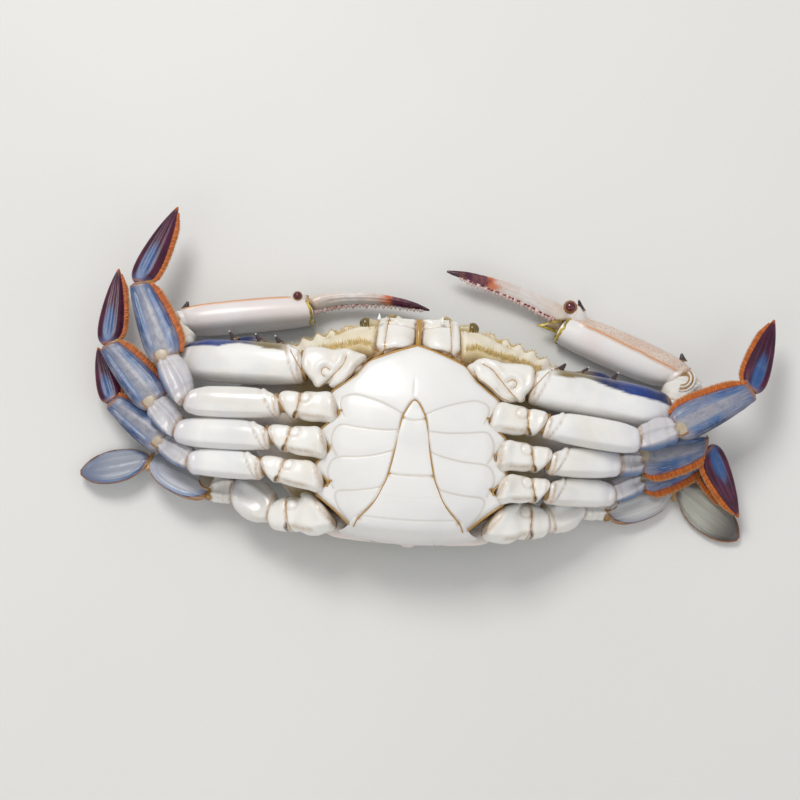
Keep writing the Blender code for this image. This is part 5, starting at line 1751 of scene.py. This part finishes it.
back_shell = build_back_shell()
build_mouth_seams()
for side_name, side in SIDES:
    build_mouth_plate(side_name, side)
    build_eye(side_name, side)
    build_feeler(side_name)
    flank_tufts(side_name, side)
    margin_tufts(side_name, side)
    thorn(f"orbit_{side_name}_spike", spot(-13.4 if side < 0 else 7.6, 35.8, 28.6), (0.0, 1.0, 0.2), 2.1, 0.9,
          "joint")


# ------------------------------------------------------------ stage

# Soft lights: name, place, size, power and colour
LAMPS = [("key", (-0.25, 0.45, 0.75), 0.34, 4.0, (1.0, 0.98, 0.95)),
         ("fill", (0.65, -0.25, 0.6), 0.7, 1.1, (0.95, 0.97, 1.0)),
         ("low", (-0.35, -0.6, 0.55), 0.6, 1.2, (1.0, 0.97, 0.93))]
LAMPS_AIM = Vector((0, 0, 0.02))
SKY_STRENGTH = 0.45
FLOOR_SIZE = 6.0                # in metres


def build_stage():
    """Pale floor, soft studio light, and the camera almost straight above the belly."""
    bpy.ops.object.select_all(action="DESELECT")
    bpy.ops.mesh.primitive_plane_add(size=FLOOR_SIZE, location=(0, 0, 0))
    floor = started("floor")
    pale = Finish("pale_floor")
    pale.put(pale.shader["Base Color"], pale.cloud((0.78, 0.775, 0.76), (0.74, 0.735, 0.72), 5.0, 0.5))
    pale.shader["Roughness"].default_value = 0.7
    floor.data.materials.append(pale.material)
    for name, place, size, power, colour in LAMPS:
        light = bpy.data.lights.new(name, "AREA")
        light.size, light.energy, light.color = size, power, colour
        lamp = linked(name, light)
        lamp.location = place
        lamp.rotation_euler = (LAMPS_AIM - Vector(place)).to_track_quat("-Z", "Y").to_euler()
    world = bpy.data.worlds.new("studio")
    world.use_nodes = True
    sky = world.node_tree.nodes["Background"].inputs
    sky["Color"].default_value = (1.0, 1.0, 1.0, 1.0)
    sky["Strength"].default_value = SKY_STRENGTH
    bpy.context.scene.world = world
    bpy.context.scene.view_settings.view_transform = "Standard"


CAMERA_TURN = math.radians(3.2)
CAMERA_RISE = math.radians(80.0)
CAMERA_DISTANCE = 0.6319
CAMERA_LENS = 85.0
# The body's middle is seen a little right of and below the middle of the view
CAMERA_AIM = (-5.1, 10.57, 20.0)


def build_camera():
    """Camera of the main view."""
    level = math.cos(CAMERA_RISE)
    back = Vector((math.sin(CAMERA_TURN) * level, -math.cos(CAMERA_TURN) * level, math.sin(CAMERA_RISE)))
    right = Vector((math.cos(CAMERA_TURN), math.sin(CAMERA_TURN), 0.0))
    data = bpy.data.cameras.new("camera")
    data.lens = CAMERA_LENS
    camera = linked("camera", data)
    place = spot(*CAMERA_AIM) + back * CAMERA_DISTANCE
    camera.matrix_world = frame_matrix(right, back.cross(right), back, place)
    bpy.context.scene.camera = camera


build_stage()
build_camera()
for pattern in (collar_pattern, ball_pattern, tooth_pattern):
    bpy.data.objects.remove(pattern)
